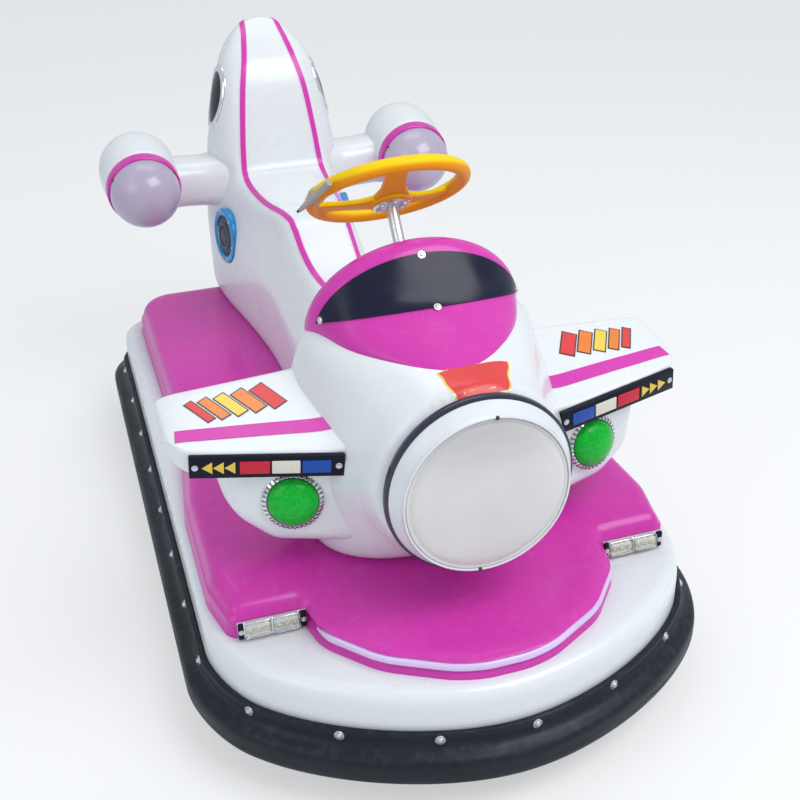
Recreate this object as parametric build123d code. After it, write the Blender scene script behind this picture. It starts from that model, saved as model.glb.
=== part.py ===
from build123d import *
from math import atan2, cos, degrees, hypot, radians, sin, tan
import os

# A battery bumper car shaped like a small aeroplane: a rubber-ringed hull on three wheels, a deck with
# a round front lobe, a saddle fuselage with a big round headlight in its nose, stub wings with light
# bars, a tall tail that is the backrest, and two lamp pods on the tail.
# Millimetres. Origin on the floor under the middle of the car, +Z up, -Y forward, +X the driver's left.

# ---- overall -------------------------------------------------------------------------------------
LENGTH = 1910.0             # over the rubber, nose to tail
WIDTH = 1100.0              # over the rubber, at its widest
FRONT_Y = -LENGTH / 2
REAR_Y = LENGTH / 2
HALF_W = WIDTH / 2
REAR_NARROWING = 34.0       # each side draws in by this much towards the rear

# ---- bumper and hull -----------------------------------------------------------------------------
BUMPER_BOTTOM = 70.0
BULGE_TOP = 122.0           # top of the fat part of the rubber
FLANGE_BOTTOM = 146.0       # foot of the thin flange that is bolted to the hull
BUMPER_TOP = 170.0
BUMPER_DEPTH = 46.0         # rubber thickness at the bulge
FLANGE_DEPTH = 14.0         # rubber thickness at the flange
HULL_BOTTOM = 92.0
HULL_TOP = 252.0
HULL_WALL = 6.0
HULL_EDGE_R = 12.0

# ---- deck ----------------------------------------------------------------------------------------
DECK_TOP = 330.0
DECK_WALL = 8.0
LOBE_HALF_W = HALF_W - 232.0
LOBE_TIP_SHARE = 0.371      # the straight front edge, as a share of the lobe's width
LOBE_TIP_Z = 300.0          # height of the lobe's surface at its front edge
LOBE_SLOPE_START_Y = FRONT_Y + 130
LOBE_SLOPE_END_Y = -600.0   # the lobe rises until here
STRIP_Z = 278.0             # middle of the light strip in the lobe's edge
STRIP_H = 16.0
STRIP_D = 6.0

# ---- running gear --------------------------------------------------------------------------------
SWIVEL_Y = -560.0           # vertical axis of the steered drive wheel
DRIVE_R = 110.0
DRIVE_W = 58.0
REAR_WHEEL_Y = 600.0
REAR_WHEEL_X = HALF_W - 165.0
REAR_R = 100.0
REAR_W = 48.0
TYRE_THICKNESS = 32.0
AXLE_R = 10.0
RUN_FIT = 0.05              # radial play of a running fit
SPINDLE_R = 15.0
SWING_CLEAR = 8.0           # play around what turns inside a hole it does not run in
LEG_GAP = 8.0               # between the drive wheel and the fork's legs
LEG_T = 10.0
CROWN_GAP = 12.0            # between the drive tyre and the fork's crown
CROWN_T = 14.0
MOTOR_R = 42.0
MOTOR_L = 85.0

# ---- frame ---------------------------------------------------------------------------------------
TUBE = 40.0                 # square tube of the chassis
RAIL_X = REAR_WHEEL_X - 135.0
RAIL_BOTTOM = 150.0
BRIDGE_BOTTOM = 270.0       # underside of the plate that holds the swivel
BRIDGE_T = 10.0
BRIDGE_W = 120.0
BEARING_R = 42.0
BEARING_H = 34.0
CROSS_Y = (-790.0, 40.0, 300.0, 780.0)
BATTERY = (2 * RAIL_X - TUBE - 130.0, 290.0, 150.0)

# ---- steering ------------------------------------------------------------------------------------
WHEEL_CENTRE = Vector(0, -212, 957)
COLUMN_DIR = Vector(0, 0.602, 0.799).normalized()
WHEEL_R = 168.0             # outside of the rim
RIM_R = 14.0                # rim tube
COLUMN_R = 12.0
HUB_R = 44.0
HUB_T = 12.0
HUB_DROP = 26.0             # the hub lies this far below the rim's plane
SPOKE_W = (58.0, 34.0, 34.0)
SPOKE_ANGLE = (90.0, 200.0, 340.0)
SPOKE_T = 12.0
LEVER_ANGLE = 160.0
BUSH_R = 26.0
BUSH_T = 8.0
JOINT_GAP = 12.0            # between the column's foot and the head of the drive spindle

# ---- nose ----------------------------------------------------------------------------------------
NOSE_Z = 569.0
NOSE_FACE_Y = -710.0
NOSE_R = 180.0
NOSE_EDGE = NOSE_R * tan(radians(30))  # half a side of the hexagon that rounds off to the nose's circle
BAND_W = 16.0
LAMP_RIM_DEPTH = 24.0
LAMP_RIM_R = 164.0
LENS_R = 155.0
LENS_BULGE = 14.0

# ---- wings and lamps -----------------------------------------------------------------------------
BAR_INNER = Vector(215, -588, 584)    # ends of the light bar's back edge, at mid height
BAR_OUTER = Vector(492, -524, 600)
BAR_H = 46.0
BAR_D = 14.0
LAMP_SET_BACK = 16.0        # the lamp's face lies this far behind the bar's back
LAMP_X = 309.0
LAMP_Z = 498.0
BEZEL_R = 60.0
BEZEL_D = 12.0
DOME_R = 47.0
DOME_H = 18.0
STROBE_X = LOBE_HALF_W + 64.0
STROBE_Z = 276.0
STROBE = (134.0, 20.0, 44.0)

# ---- tail ----------------------------------------------------------------------------------------
TAIL_FOOT_Y = 668.0         # front of the tail moulding, below the seat
SEAT_END_Y = 736.0          # where the seat meets the backrest
POD = Vector(366, 745, 694)           # centre of the pod's front ring
POD_R = 100.0
POD_STRAIGHT = 100.0
POD_TAIL = 100.0
POD_DOME_R = 97.0
STRUT_R = 70.0
STRUT_Y = 845.0
STRUT_Z = 664.0
TAIL_LAMP = (862.0, 872.0, 80.0)      # y, z, radius of the round lamp high on the tail's side
TAIL_SPEAKER = (768.0, 516.0, 76.0)   # y, z, radius of the speaker low on the tail's side
SIDE_TRIM_DEPTH = 60.0      # how far the lamp and speaker bodies reach into the tail


# ==== helpers =====================================================================================
def both_sides(half):
    """Close a half outline (u, v, corner radius) by its mirror image."""
    return list(half) + [(-u, v, r) for u, v, r in reversed(half)]


def inset(loop, d):
    """Move every side of a counter-clockwise outline inwards by d; hollow corners ease, others tighten."""
    sides = []
    for (x0, y0, _), (x1, y1, _) in zip(loop, loop[1:] + loop[:1]):
        run = hypot(x1 - x0, y1 - y0)
        ux, uy = (x1 - x0) / run, (y1 - y0) / run
        sides.append((x0 - uy * d, y0 + ux * d, ux, uy))
    moved = []
    for i, (_, _, radius) in enumerate(loop):
        ax, ay, au, av = sides[i - 1]
        bx, by, bu, bv = sides[i]
        turn = au * bv - av * bu
        along = ((bx - ax) * bv - (by - ay) * bu) / turn
        moved.append((ax + au * along, ay + av * along, max(radius - d if turn > 0 else radius + d, 1.0)))
    return moved


def rounded(loop, place):
    """Face inside an outline of straight runs and arcs; place puts its (u, v) points in space."""
    corners = []
    for i, (u, v, radius) in enumerate(loop):
        here = Vector(u, v)
        back = (Vector(*loop[i - 1][:2]) - here).normalized()
        ahead = (Vector(*loop[(i + 1) % len(loop)][:2]) - here).normalized()
        half_angle = radians(back.get_angle(ahead) / 2)
        reach = radius / tan(half_angle)
        top = here + (back + ahead).normalized() * (radius / sin(half_angle) - radius)
        corners.append([place(p.X, p.Y) for p in (here + back * reach, top, here + ahead * reach)])
    edges = []
    for i, (start, top, end) in enumerate(corners):
        edges.append(Edge.make_line(corners[i - 1][2], start))
        edges.append(Edge.make_three_point_arc(start, top, end))
    return Face(Wire(edges))


def level(loop, z):
    return rounded(loop, lambda u, v: Vector(u, v, z))


def upright(loop, y):
    return rounded(loop, lambda u, v: Vector(u, y, v))


def sideways(loop, x):
    return rounded(loop, lambda u, v: Vector(x, u, v))


def prism(loop, z0, z1):
    return extrude(level(loop, z0), z1 - z0, dir=(0, 0, 1))


def stack(loop, levels):
    """Straight-sided layers through (height, inset) levels."""
    return loft([level(inset(loop, d), z) for z, d in levels], ruled=True)


def rod(start, end, radius):
    start, end = Vector(start), Vector(end)
    return Solid.make_cylinder(radius, (end - start).length, Plane(origin=start, z_dir=end - start))


def block(x0, x1, y0, y1, z0, z1):
    return Pos((x0 + x1) / 2, (y0 + y1) / 2, (z0 + z1) / 2) * Box(x1 - x0, y1 - y0, z1 - z0)


def across(points, x0, x1):
    """Extrude a (y, z) polygon across the car from x0 to x1."""
    face = make_face(Polyline(*[(x0, y, z) for y, z in points], close=True).edges())
    return extrude(face, x1 - x0, dir=(1, 0, 0))


def turned(profile, centre):
    """Turn a (distance forward of centre, radius) profile about the fore-and-aft line through centre."""
    x, y, z = centre
    face = make_face(Polyline(*[(x + r, y - f, z) for f, r in profile], close=True).edges())
    return revolve(face, Axis((x, y, z), (0, -1, 0)), 360)


def cap(centre, radius, height, base=0.0):
    """A shallow dome of that height, bulging forward from base in front of centre."""
    sphere_r = (radius ** 2 + height ** 2) / (2 * height)
    x, y, z = centre
    ball = Pos(x, y - base - height + sphere_r, z) * Sphere(sphere_r)
    return ball & rod((x, y - base, z), (x, y - base - height, z), radius)


def bulb(centre, radius, straight, bulge):
    """A round bar running aft from centre, with a domed end; a negative bulge is domed forward instead."""
    centre = Vector(centre)
    aft = Vector(0, 1, 0)
    rim = centre + Vector(radius, 0, 0) + aft * straight
    tip = centre + aft * (straight + bulge)
    shoulder = centre + Vector(radius * cos(radians(45)), 0, 0) + aft * (straight + bulge * sin(radians(45)))
    edges = [Edge.make_three_point_arc(rim, shoulder, tip), Edge.make_line(tip, centre),
             Edge.make_line(centre, centre + Vector(radius, 0, 0))]
    if straight:
        edges.append(Edge.make_line(centre + Vector(radius, 0, 0), rim))
    return revolve(Face(Wire(edges)), Axis(centre, aft), 360)


def largest(shape):
    return max(shape.solids(), key=lambda solid: solid.volume)


NODES = {}


def node(name, shape):
    NODES[name] = shape


def pair(name, shape):
    """One on the driver's left (+X) and its mirror image on the right."""
    node(name + "_left", shape)
    node(name + "_right", mirror(shape, about=Plane.YZ))


# ==== outlines, counter-clockwise from the middle of the front: x, y, corner radius ===============
# The front is a three-centred arch: a broad arc across the nose and a tighter one at each shoulder.
PLAN = both_sides([
    (HALF_W * 0.514, FRONT_Y, HALF_W * 1.118),
    (HALF_W + 0.08 * REAR_NARROWING, FRONT_Y + HALF_W * 0.5564, HALF_W * 0.5727),
    (HALF_W - REAR_NARROWING, REAR_Y, 150.0),
])
LEDGE_Y = FRONT_Y + 340.0   # front of the deck's ledges, one each side of the lobe
DECK = both_sides([
    (LOBE_HALF_W * LOBE_TIP_SHARE, FRONT_Y + 89.0, 235.0),
    (LOBE_HALF_W - 2.0, FRONT_Y + 172.0, 130.0),
    (LOBE_HALF_W, LEDGE_Y, 12.0),
    (HALF_W - 86.0, LEDGE_Y, 34.0),
    (HALF_W - 63.0, FRONT_Y + 460.0, 160.0),
    (HALF_W - 72.0, FRONT_Y + 760.0, 300.0),
    (HALF_W - 112.0, FRONT_Y + 1040.0, 400.0),
    (HALF_W - 124.0, REAR_Y - 58.0, 100.0),
])
DECK_LEVELS = [(HULL_TOP, 0.0), (HULL_TOP + 40, 8.0), (DECK_TOP - 12, 18.0), (DECK_TOP, 34.0)]

# ==== fuselage sections, nose to backrest =========================================================
# y, low z, low half width, middle z, middle half width, top z, top half width, low/middle/top radius
FUSELAGE = [
    (NOSE_FACE_Y, NOSE_Z - NOSE_R, NOSE_EDGE, NOSE_Z, 2 * NOSE_EDGE, NOSE_Z + NOSE_R, NOSE_EDGE,
     NOSE_R - 3, NOSE_R - 3, NOSE_R - 3),
    (-620, 362, 120, 562, 236, 757, 118, 160, 150, 150),
    (-578, DECK_TOP, 150, 555, 246, 764, 140, 80, 150, 130),
    (-520, DECK_TOP, 235, 545, 270, 767, 165, 20, 140, 100),
    (-440, DECK_TOP, 256, 550, 284, 767, 190, 10, 120, 70),
    (-360, DECK_TOP, 246, 560, 286, 764, 204, 10, 100, 55),
    (-285, DECK_TOP, 226, 555, 262, 742, 185, 10, 90, 55),
    (-180, DECK_TOP, 192, 520, 202, 668, 125, 10, 80, 50),
    (-60, DECK_TOP, 164, 490, 160, 607, 82, 10, 70, 35),
    (120, DECK_TOP, 148, 480, 140, 601, 72, 10, 60, 30),
    (285, DECK_TOP, 145, 500, 134, 652, 74, 10, 60, 30),
    (365, DECK_TOP, 146, 520, 136, 706, 82, 10, 60, 30),
    (440, DECK_TOP, 150, 520, 142, 704, 92, 10, 60, 30),
    (600, DECK_TOP, 168, 530, 156, 688, 112, 10, 70, 30),
    (SEAT_END_Y, DECK_TOP, 186, 540, 168, 692, 122, 10, 70, 30),
]
# z, front y, front half width, middle y, middle half width, rear y, rear half width, corner radii
TAIL = [
    (DECK_TOP, TAIL_FOOT_Y, 184, 880, 194, 944, 176, 8, 60, 50),
    (540, TAIL_FOOT_Y, 170, 880, 196, 944, 178, 8, 60, 50),
    (610, TAIL_FOOT_Y + 4, 156, 874, 192, 944, 174, 10, 60, 50),
    (698, SEAT_END_Y, 128, 852, 184, 946, 168, 16, 60, 50),
    (756, 750, 114, 846, 173, 946, 158, 24, 60, 50),
    (809, 760, 109, 846, 163, 946, 148, 24, 56, 45),
    (911, 783, 96, 856, 141, 946, 128, 24, 50, 40),
    (983, 817, 79, 874, 118, 946, 106, 22, 40, 30),
    (1030, 868, 60, 902, 85, 946, 76, 14, 20, 16),
    (1056, 905, 44, 922, 56, 945, 50, 8, 8, 8),
    (1072, 925, 24, 931, 28, 938, 24, 2, 2, 2),
]
# y, foot z, foot half width, shoulder z, shoulder half width, crown z, crown half width, radii
COWL = [
    (-630, 735, 70, 752, 50, 760, 20, 4, 12, 10),
    (-560, 735, 140, 758, 122, 786, 64, 6, 30, 40),
    (-484, 730, 196, 768, 178, 814, 96, 8, 40, 80),
    (-420, 725, 216, 838, 176, 897, 88, 8, 60, 80),
    (-385, 725, 220, 850, 180, 920, 90, 8, 60, 80),
    (-352, 725, 216, 838, 176, 908, 86, 8, 60, 80),
    (-292, 715, 196, 760, 172, 778, 90, 6, 20, 20),
]


def section(row, grow=0.0):
    """Half outline of a six-sided rounded section, low to top, grown outwards if asked."""
    low, half_low, mid, half_mid, top, half_top, r_low, r_mid, r_top = row
    return inset(both_sides([(half_low, low, r_low), (half_mid, mid, r_mid), (half_top, top, r_top)]), -grow)


def fuselage_skin():
    return loft([upright(section(row[1:]), row[0]) for row in FUSELAGE], ruled=True)


def cowl_skin(grow=0.0):
    return loft([upright(section(row[1:], grow), row[0]) for row in COWL], ruled=True)


def tail_skin():
    faces = []
    for z, front, half_front, mid, half_mid, rear, half_rear, r_front, r_mid, r_rear in TAIL:
        half = [(half_front, front, r_front), (half_mid, mid, r_mid), (half_rear, rear, r_rear)]
        faces.append(level(both_sides(half), z))
    return loft(faces, ruled=True)


# ==== places worked out from the sizes ============================================================
FORK_TOP = 2 * DRIVE_R + CROWN_GAP + CROWN_T
BEND = WHEEL_CENTRE - COLUMN_DIR * ((WHEEL_CENTRE.Y - SWIVEL_Y) / COLUMN_DIR.Y)
COLUMN_FOOT = BEND + COLUMN_DIR * JOINT_GAP / 2
SPINDLE_HEAD = BEND - Vector(0, 0, JOINT_GAP / 2 + COLUMN_R)
HUB_CENTRE = WHEEL_CENTRE - COLUMN_DIR * HUB_DROP
SWEEP = degrees(atan2(BAR_OUTER.Y - BAR_INNER.Y, BAR_OUTER.X - BAR_INNER.X))
LAMP_Y = (BAR_INNER.Y + (LAMP_X - BAR_INNER.X) * tan(radians(SWEEP)) + LAMP_SET_BACK / cos(radians(SWEEP)))
LAMP = Vector(LAMP_X, LAMP_Y, LAMP_Z)  # centre of the green lamp's mounting face


# ==== body ========================================================================================
def bumper():
    bulge = prism(PLAN, BUMPER_BOTTOM, BULGE_TOP)
    slope = stack(PLAN, [(BULGE_TOP, 0.0), (FLANGE_BOTTOM, BUMPER_DEPTH - FLANGE_DEPTH)])
    flange = prism(inset(PLAN, BUMPER_DEPTH - FLANGE_DEPTH), FLANGE_BOTTOM, BUMPER_TOP)
    return bulge + slope + flange - prism(inset(PLAN, BUMPER_DEPTH), BUMPER_BOTTOM - 1, BUMPER_TOP + 1)


def hull():
    shell = prism(inset(PLAN, BUMPER_DEPTH), HULL_BOTTOM, HULL_TOP)
    shell = fillet(shell.edges().group_by(Axis.Z)[-1], HULL_EDGE_R)
    shell -= prism(inset(PLAN, BUMPER_DEPTH + HULL_WALL), HULL_BOTTOM - 1, HULL_TOP - HULL_WALL)
    return shell - prism(inset(DECK, 3 * DECK_WALL), HULL_BOTTOM, HULL_TOP + 1)


def lobe_slope(drop):
    """What lies above the lobe's sloping surface, lowered by drop."""
    ahead, above = FRONT_Y - 10, DECK_TOP + 10
    return across([(LOBE_SLOPE_END_Y, DECK_TOP - drop), (LOBE_SLOPE_START_Y, LOBE_TIP_Z - drop),
                   (ahead, LOBE_TIP_Z - 16 - drop), (ahead, above), (LOBE_SLOPE_END_Y, above)],
                  -HALF_W, HALF_W)


def lobe_band(outer, inner):
    """A band along the lobe's edge between two insets of the deck's outline."""
    low, high = STRIP_Z - STRIP_H / 2, STRIP_Z + STRIP_H / 2
    band = prism(inset(DECK, outer), low, high) - prism(inset(DECK, inner), low - 1, high + 1)
    return band & block(-308, 308, FRONT_Y, LEDGE_Y - 40, low, high)


STRIP_FACE = DECK_LEVELS[1][1] * (STRIP_Z - HULL_TOP) / (DECK_LEVELS[1][0] - HULL_TOP)


def deck():
    tray = stack(DECK, DECK_LEVELS) - lobe_slope(0)
    hollow = [(z - DECK_WALL if d else z - 1, d + DECK_WALL) for z, d in DECK_LEVELS]
    tray -= stack(DECK, hollow) - lobe_slope(DECK_WALL)
    tray -= lobe_band(-5.0, STRIP_FACE + STRIP_D) + strobe() + mirror(strobe(), about=Plane.YZ)
    return tray - rod((0, SWIVEL_Y, HULL_TOP), (0, SWIVEL_Y, DECK_TOP + 1), SPINDLE_R + SWING_CLEAR)


def light_strip():
    return lobe_band(STRIP_FACE + 1, STRIP_FACE + STRIP_D)


def column_way():
    """The hollow that the steering column and the drive spindle turn in."""
    radius = SPINDLE_R + SWING_CLEAR
    spindle_way = rod((0, SWIVEL_Y, 0), BEND, radius) + Pos(*BEND) * Sphere(radius)
    return spindle_way + rod(BEND, HUB_CENTRE, radius)


def bush_face():
    """Where the column leaves the cowl's rear face."""
    return WHEEL_CENTRE - COLUMN_DIR * 158.0


def cowl(skin_of_fuselage, glass):
    shape = cowl_skin() - skin_of_fuselage - glass
    shape -= rod(BEND, HUB_CENTRE, COLUMN_R + SWING_CLEAR)
    shape -= rod(bush_face(), HUB_CENTRE, BUSH_R + 1)
    return largest(shape)


GLASS_REAR_Y = -412.0
GLASS_LOW = [(GLASS_REAR_Y, 784.0), (-530.0, 834.0)]
GLASS_T = 3.5


def windscreen():
    region = across(GLASS_LOW + [(-530.0, 1000.0), (GLASS_REAR_Y, 1000.0)], -HALF_W, HALF_W)
    return largest((cowl_skin(GLASS_T) & region) - cowl_skin())


# ==== nose ========================================================================================
def nose_lamp():
    face = (0, NOSE_FACE_Y, NOSE_Z)
    rim_back = BAND_W
    rim_front = BAND_W + LAMP_RIM_DEPTH
    node("nose_band", turned([(0, LENS_R), (0, NOSE_R), (BAND_W, NOSE_R - 2), (BAND_W, LENS_R)], face))
    node("headlight_rim", turned([(rim_back, LENS_R), (rim_back, NOSE_R - 8), (rim_front - 6, LAMP_RIM_R + 3),
                                  (rim_front, LAMP_RIM_R - 3), (rim_front, LENS_R)], face))
    lens = rod(face, (0, NOSE_FACE_Y - rim_front, NOSE_Z), LENS_R)
    node("headlight_lens", lens + cap(face, LENS_R, LENS_BULGE, rim_front))


# ==== wings =======================================================================================
def wing_skin():
    """Root to tip; each row x, front y, front low z, front top z, rear y, rear low z, rear top z."""
    rows = [
        (150, -600, 553, 604, -368, 640, 688),
        (505, -516, 572, 626, -372, 612, 650),
        (524, -500, 582, 620, -388, 614, 642),
    ]
    faces = []
    for x, front, front_low, front_top, rear, rear_low, rear_top in rows:
        faces.append(sideways([(front, front_low, 8), (rear, rear_low, 12), (rear, rear_top, 12),
                               (front, front_top, 8)], x))
    return loft(faces, ruled=True)


def lamp_fairing_skin():
    """The bulge under the wing that carries the green lamp, front to back."""
    # y, outer half width, low z
    rows = [(LAMP.Y - 40, 420, 404), (-500, 430, 384), (-380, 384, 388), (-300, 300, 424)]
    faces = []
    for y, outer, low in rows:
        loop = [(150, low, 5), (outer - 120, low, 50), (outer - 28, low + 84, 60), (outer, 700, 5),
                (150, 700, 5)]
        faces.append(upright(loop, y))
    return loft(faces, ruled=True)


def bar_plane(back):
    """Upright plane along the wing's leading edge, set back from the light bar; its normal points ahead."""
    span = BAR_OUTER - BAR_INNER
    ahead = span.cross(Vector(0, 0, 1)).normalized()
    return Plane(origin=BAR_INNER + span / 2 - ahead * back, x_dir=span, z_dir=ahead)


def ahead_of_bar(back):
    """Everything in front of that plane."""
    return bar_plane(back) * Pos(0, 0, 200) * Box(1200, 900, 400)


def light_bar():
    return bar_plane(0) * Pos(0, 0, BAR_D / 2) * Box((BAR_OUTER - BAR_INNER).length, BAR_H, BAR_D)


def wings(skin_of_fuselage):
    bar = light_bar()
    wing = wing_skin() - ahead_of_bar(0)
    pair("wing", largest(wing - skin_of_fuselage))
    above = across([(-700, 560), (-600, 575), (-368, 664), (-200, 720), (-200, 900), (-700, 900)], 100, 600)
    pair("lamp_fairing", largest(lamp_fairing_skin() - above - wing - ahead_of_bar(LAMP_SET_BACK) - skin_of_fuselage))
    pair("light_bar", largest(bar - skin_of_fuselage))
    place = Pos(*LAMP) * Rot(0, 0, SWEEP)
    pair("lamp_bezel", place * turned([(0, DOME_R), (0, BEZEL_R), (BEZEL_D - 4, BEZEL_R),
                                       (BEZEL_D, BEZEL_R - 5), (BEZEL_D, DOME_R)], (0, 0, 0)))
    pair("green_lamp", place * (rod((0, 0, 0), (0, -BEZEL_D, 0), DOME_R) + cap((0, 0, 0), DOME_R, DOME_H, BEZEL_D)))


def strobe():
    width, depth, height = STROBE
    back = LEDGE_Y + 4
    return block(STROBE_X - width / 2, STROBE_X + width / 2, back - depth, back,
                 STROBE_Z - height / 2, STROBE_Z + height / 2)


# ==== tail ========================================================================================
def pod(tail):
    strut = rod((0, STRUT_Y, STRUT_Z), (POD.X - POD_R * 0.6, STRUT_Y, STRUT_Z), STRUT_R) - tail
    arm = max(strut.solids(), key=lambda solid: solid.center().X)
    return bulb(POD, POD_R, POD_STRAIGHT, POD_TAIL) + arm


def side_disc(place, tail):
    """A round lamp or speaker let into the tail's side, its face square to the wall there."""
    y, z, radius = place
    wall_points = tail.solid().find_intersection_points(Axis((0, y, z), (1, 0, 0)))
    reach = max(point.X for point, _ in wall_points)
    return rod((reach - SIDE_TRIM_DEPTH, y, z), (HALF_W, y, z), radius) & tail


# ==== steering ====================================================================================
def steering_plane(at=0.0):
    return Plane(origin=WHEEL_CENTRE + COLUMN_DIR * at, x_dir=(1, 0, 0), z_dir=COLUMN_DIR)


def steering():
    plane = steering_plane()
    rim = Solid.make_torus(WHEEL_R - RIM_R, RIM_R, plane)
    hub = Solid.make_cylinder(HUB_R, HUB_T, steering_plane(-HUB_DROP))
    wheel = rim + hub
    for width, angle in zip(SPOKE_W, SPOKE_ANGLE):
        spoke = Polyline((HUB_R * 0.6, -HUB_DROP), (WHEEL_R - RIM_R, -SPOKE_T / 2),
                         (WHEEL_R - RIM_R, SPOKE_T / 2), (HUB_R * 0.6, SPOKE_T - HUB_DROP), close=True)
        bar = extrude(make_face(Plane.XZ * spoke), width / 2, both=True)
        wheel += plane * (Rot(0, 0, angle) * bar)
    node("steering_wheel", wheel)
    node("steering_hub_plate", Solid.make_cylinder(HUB_R - 6, 6, steering_plane(-HUB_DROP - 6)))
    node("steering_column", rod(COLUMN_FOOT, HUB_CENTRE - COLUMN_DIR * 6, COLUMN_R))
    top = Rot(0, 0, LEVER_ANGLE) * (Pos(WHEEL_R - RIM_R, 0, RIM_R + 4) * Box(26, 62, 8))
    node("wheel_lever", plane * top - wheel)
    bush = rod(bush_face(), bush_face() + COLUMN_DIR * BUSH_T, BUSH_R)
    node("column_bush", bush - rod(BEND, HUB_CENTRE, COLUMN_R + RUN_FIT))


# ==== running gear ================================================================================
def tyre(radius, width):
    edge = 8.0
    ring = Solid.make_cylinder(radius, width, Plane(origin=(-width / 2, 0, 0), z_dir=(1, 0, 0)))
    ring = fillet(ring.edges().filter_by(GeomType.CIRCLE), edge)
    return ring - rod((-width, 0, 0), (width, 0, 0), radius - TYRE_THICKNESS)


def wheel_hub(radius, width):
    hub = rod((-width / 2, 0, 0), (width / 2, 0, 0), radius - TYRE_THICKNESS)
    dish = rod((width / 2 - 10, 0, 0), (width / 2 + 1, 0, 0), radius - TYRE_THICKNESS - 8)
    boss = rod((-width / 2, 0, 0), (width / 2, 0, 0), 2 * AXLE_R)
    hub -= dish + mirror(dish, about=Plane.YZ)
    return hub + boss - rod((-width, 0, 0), (width, 0, 0), AXLE_R + RUN_FIT)


def drive_unit():
    centre = Pos(0, SWIVEL_Y, DRIVE_R)
    node("drive_tyre", centre * tyre(DRIVE_R, DRIVE_W))
    node("drive_hub", centre * wheel_hub(DRIVE_R, DRIVE_W))
    leg_in = DRIVE_W / 2 + LEG_GAP
    leg_out = leg_in + LEG_T
    y0, y1 = SWIVEL_Y - 28, SWIVEL_Y + 28
    fork = block(-leg_out, leg_out, y0, y1, FORK_TOP - CROWN_T, FORK_TOP)
    for side in (-1, 1):
        x0, x1 = sorted((side * leg_in, side * leg_out))
        fork += block(x0, x1, y0, y1, DRIVE_R - 24, FORK_TOP - CROWN_T)
    fork += rod((0, SWIVEL_Y, FORK_TOP), SPINDLE_HEAD, SPINDLE_R)
    fork += rod((0, SWIVEL_Y, FORK_TOP), (0, SWIVEL_Y, BRIDGE_BOTTOM - 6), SPINDLE_R + 12)
    fork -= rod((-leg_out, SWIVEL_Y, DRIVE_R), (leg_out, SWIVEL_Y, DRIVE_R), AXLE_R)
    node("drive_fork", fork)
    node("drive_axle", rod((-leg_out - 8, SWIVEL_Y, DRIVE_R), (leg_out + 8, SWIVEL_Y, DRIVE_R), AXLE_R))
    motor_z = DRIVE_R + 60
    node("drive_motor", rod((leg_out, SWIVEL_Y, motor_z), (leg_out + MOTOR_L, SWIVEL_Y, motor_z), MOTOR_R))


def rear_wheels():
    centre = Pos(REAR_WHEEL_X, REAR_WHEEL_Y, REAR_R)
    pair("rear_tyre", centre * tyre(REAR_R, REAR_W))
    pair("rear_hub", centre * wheel_hub(REAR_R, REAR_W))
    reach = REAR_WHEEL_X + REAR_W / 2 + 14
    axle = rod((-reach, REAR_WHEEL_Y, REAR_R), (reach, REAR_WHEEL_Y, REAR_R), AXLE_R)
    collar_in = REAR_WHEEL_X - REAR_W / 2 - 5
    for side in (-1, 1):
        axle += rod((side * (collar_in - 14), REAR_WHEEL_Y, REAR_R), (side * collar_in, REAR_WHEEL_Y, REAR_R),
                    AXLE_R + 8)
        axle += rod((side * (reach - 9), REAR_WHEEL_Y, REAR_R), (side * reach, REAR_WHEEL_Y, REAR_R),
                    AXLE_R + 5)
    node("rear_axle", axle)


def chassis():
    low, high = RAIL_BOTTOM, RAIL_BOTTOM + TUBE
    within = prism(inset(PLAN, BUMPER_DEPTH + HULL_WALL), low - TUBE, DECK_TOP)
    frame = Part()
    for side in (-1, 1):
        x = side * RAIL_X
        frame += block(x - TUBE / 2, x + TUBE / 2, CROSS_Y[0], CROSS_Y[-1], low, high)
        frame += block(x - TUBE / 2, x + TUBE / 2, SWIVEL_Y - BRIDGE_W / 2, SWIVEL_Y + BRIDGE_W / 2,
                       high, BRIDGE_BOTTOM)
        frame += block(x - 4, x + 4, REAR_WHEEL_Y - 35, REAR_WHEEL_Y + 35, REAR_R - 24, low)
    for y in CROSS_Y:
        bottom = low - TUBE if y in CROSS_Y[1:3] else low
        frame += block(-HALF_W, HALF_W, y - TUBE / 2, y + TUBE / 2, bottom, bottom + TUBE) & within
    reach = RAIL_X + TUBE / 2
    frame += block(-reach, reach, SWIVEL_Y - BRIDGE_W / 2, SWIVEL_Y + BRIDGE_W / 2,
                   BRIDGE_BOTTOM, BRIDGE_BOTTOM + BRIDGE_T)
    frame += rod((0, SWIVEL_Y, BRIDGE_BOTTOM), (0, SWIVEL_Y, BRIDGE_BOTTOM + BEARING_H), BEARING_R)
    frame -= rod((0, SWIVEL_Y, 0), (0, SWIVEL_Y, DECK_TOP), SPINDLE_R + RUN_FIT)
    return frame - rod((-HALF_W, REAR_WHEEL_Y, REAR_R), (HALF_W, REAR_WHEEL_Y, REAR_R), AXLE_R)


def battery():
    width, depth, height = BATTERY
    middle = (CROSS_Y[1] + CROSS_Y[2]) / 2
    return block(-width / 2, width / 2, middle - depth / 2, middle + depth / 2,
                 RAIL_BOTTOM, RAIL_BOTTOM + height)


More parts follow.
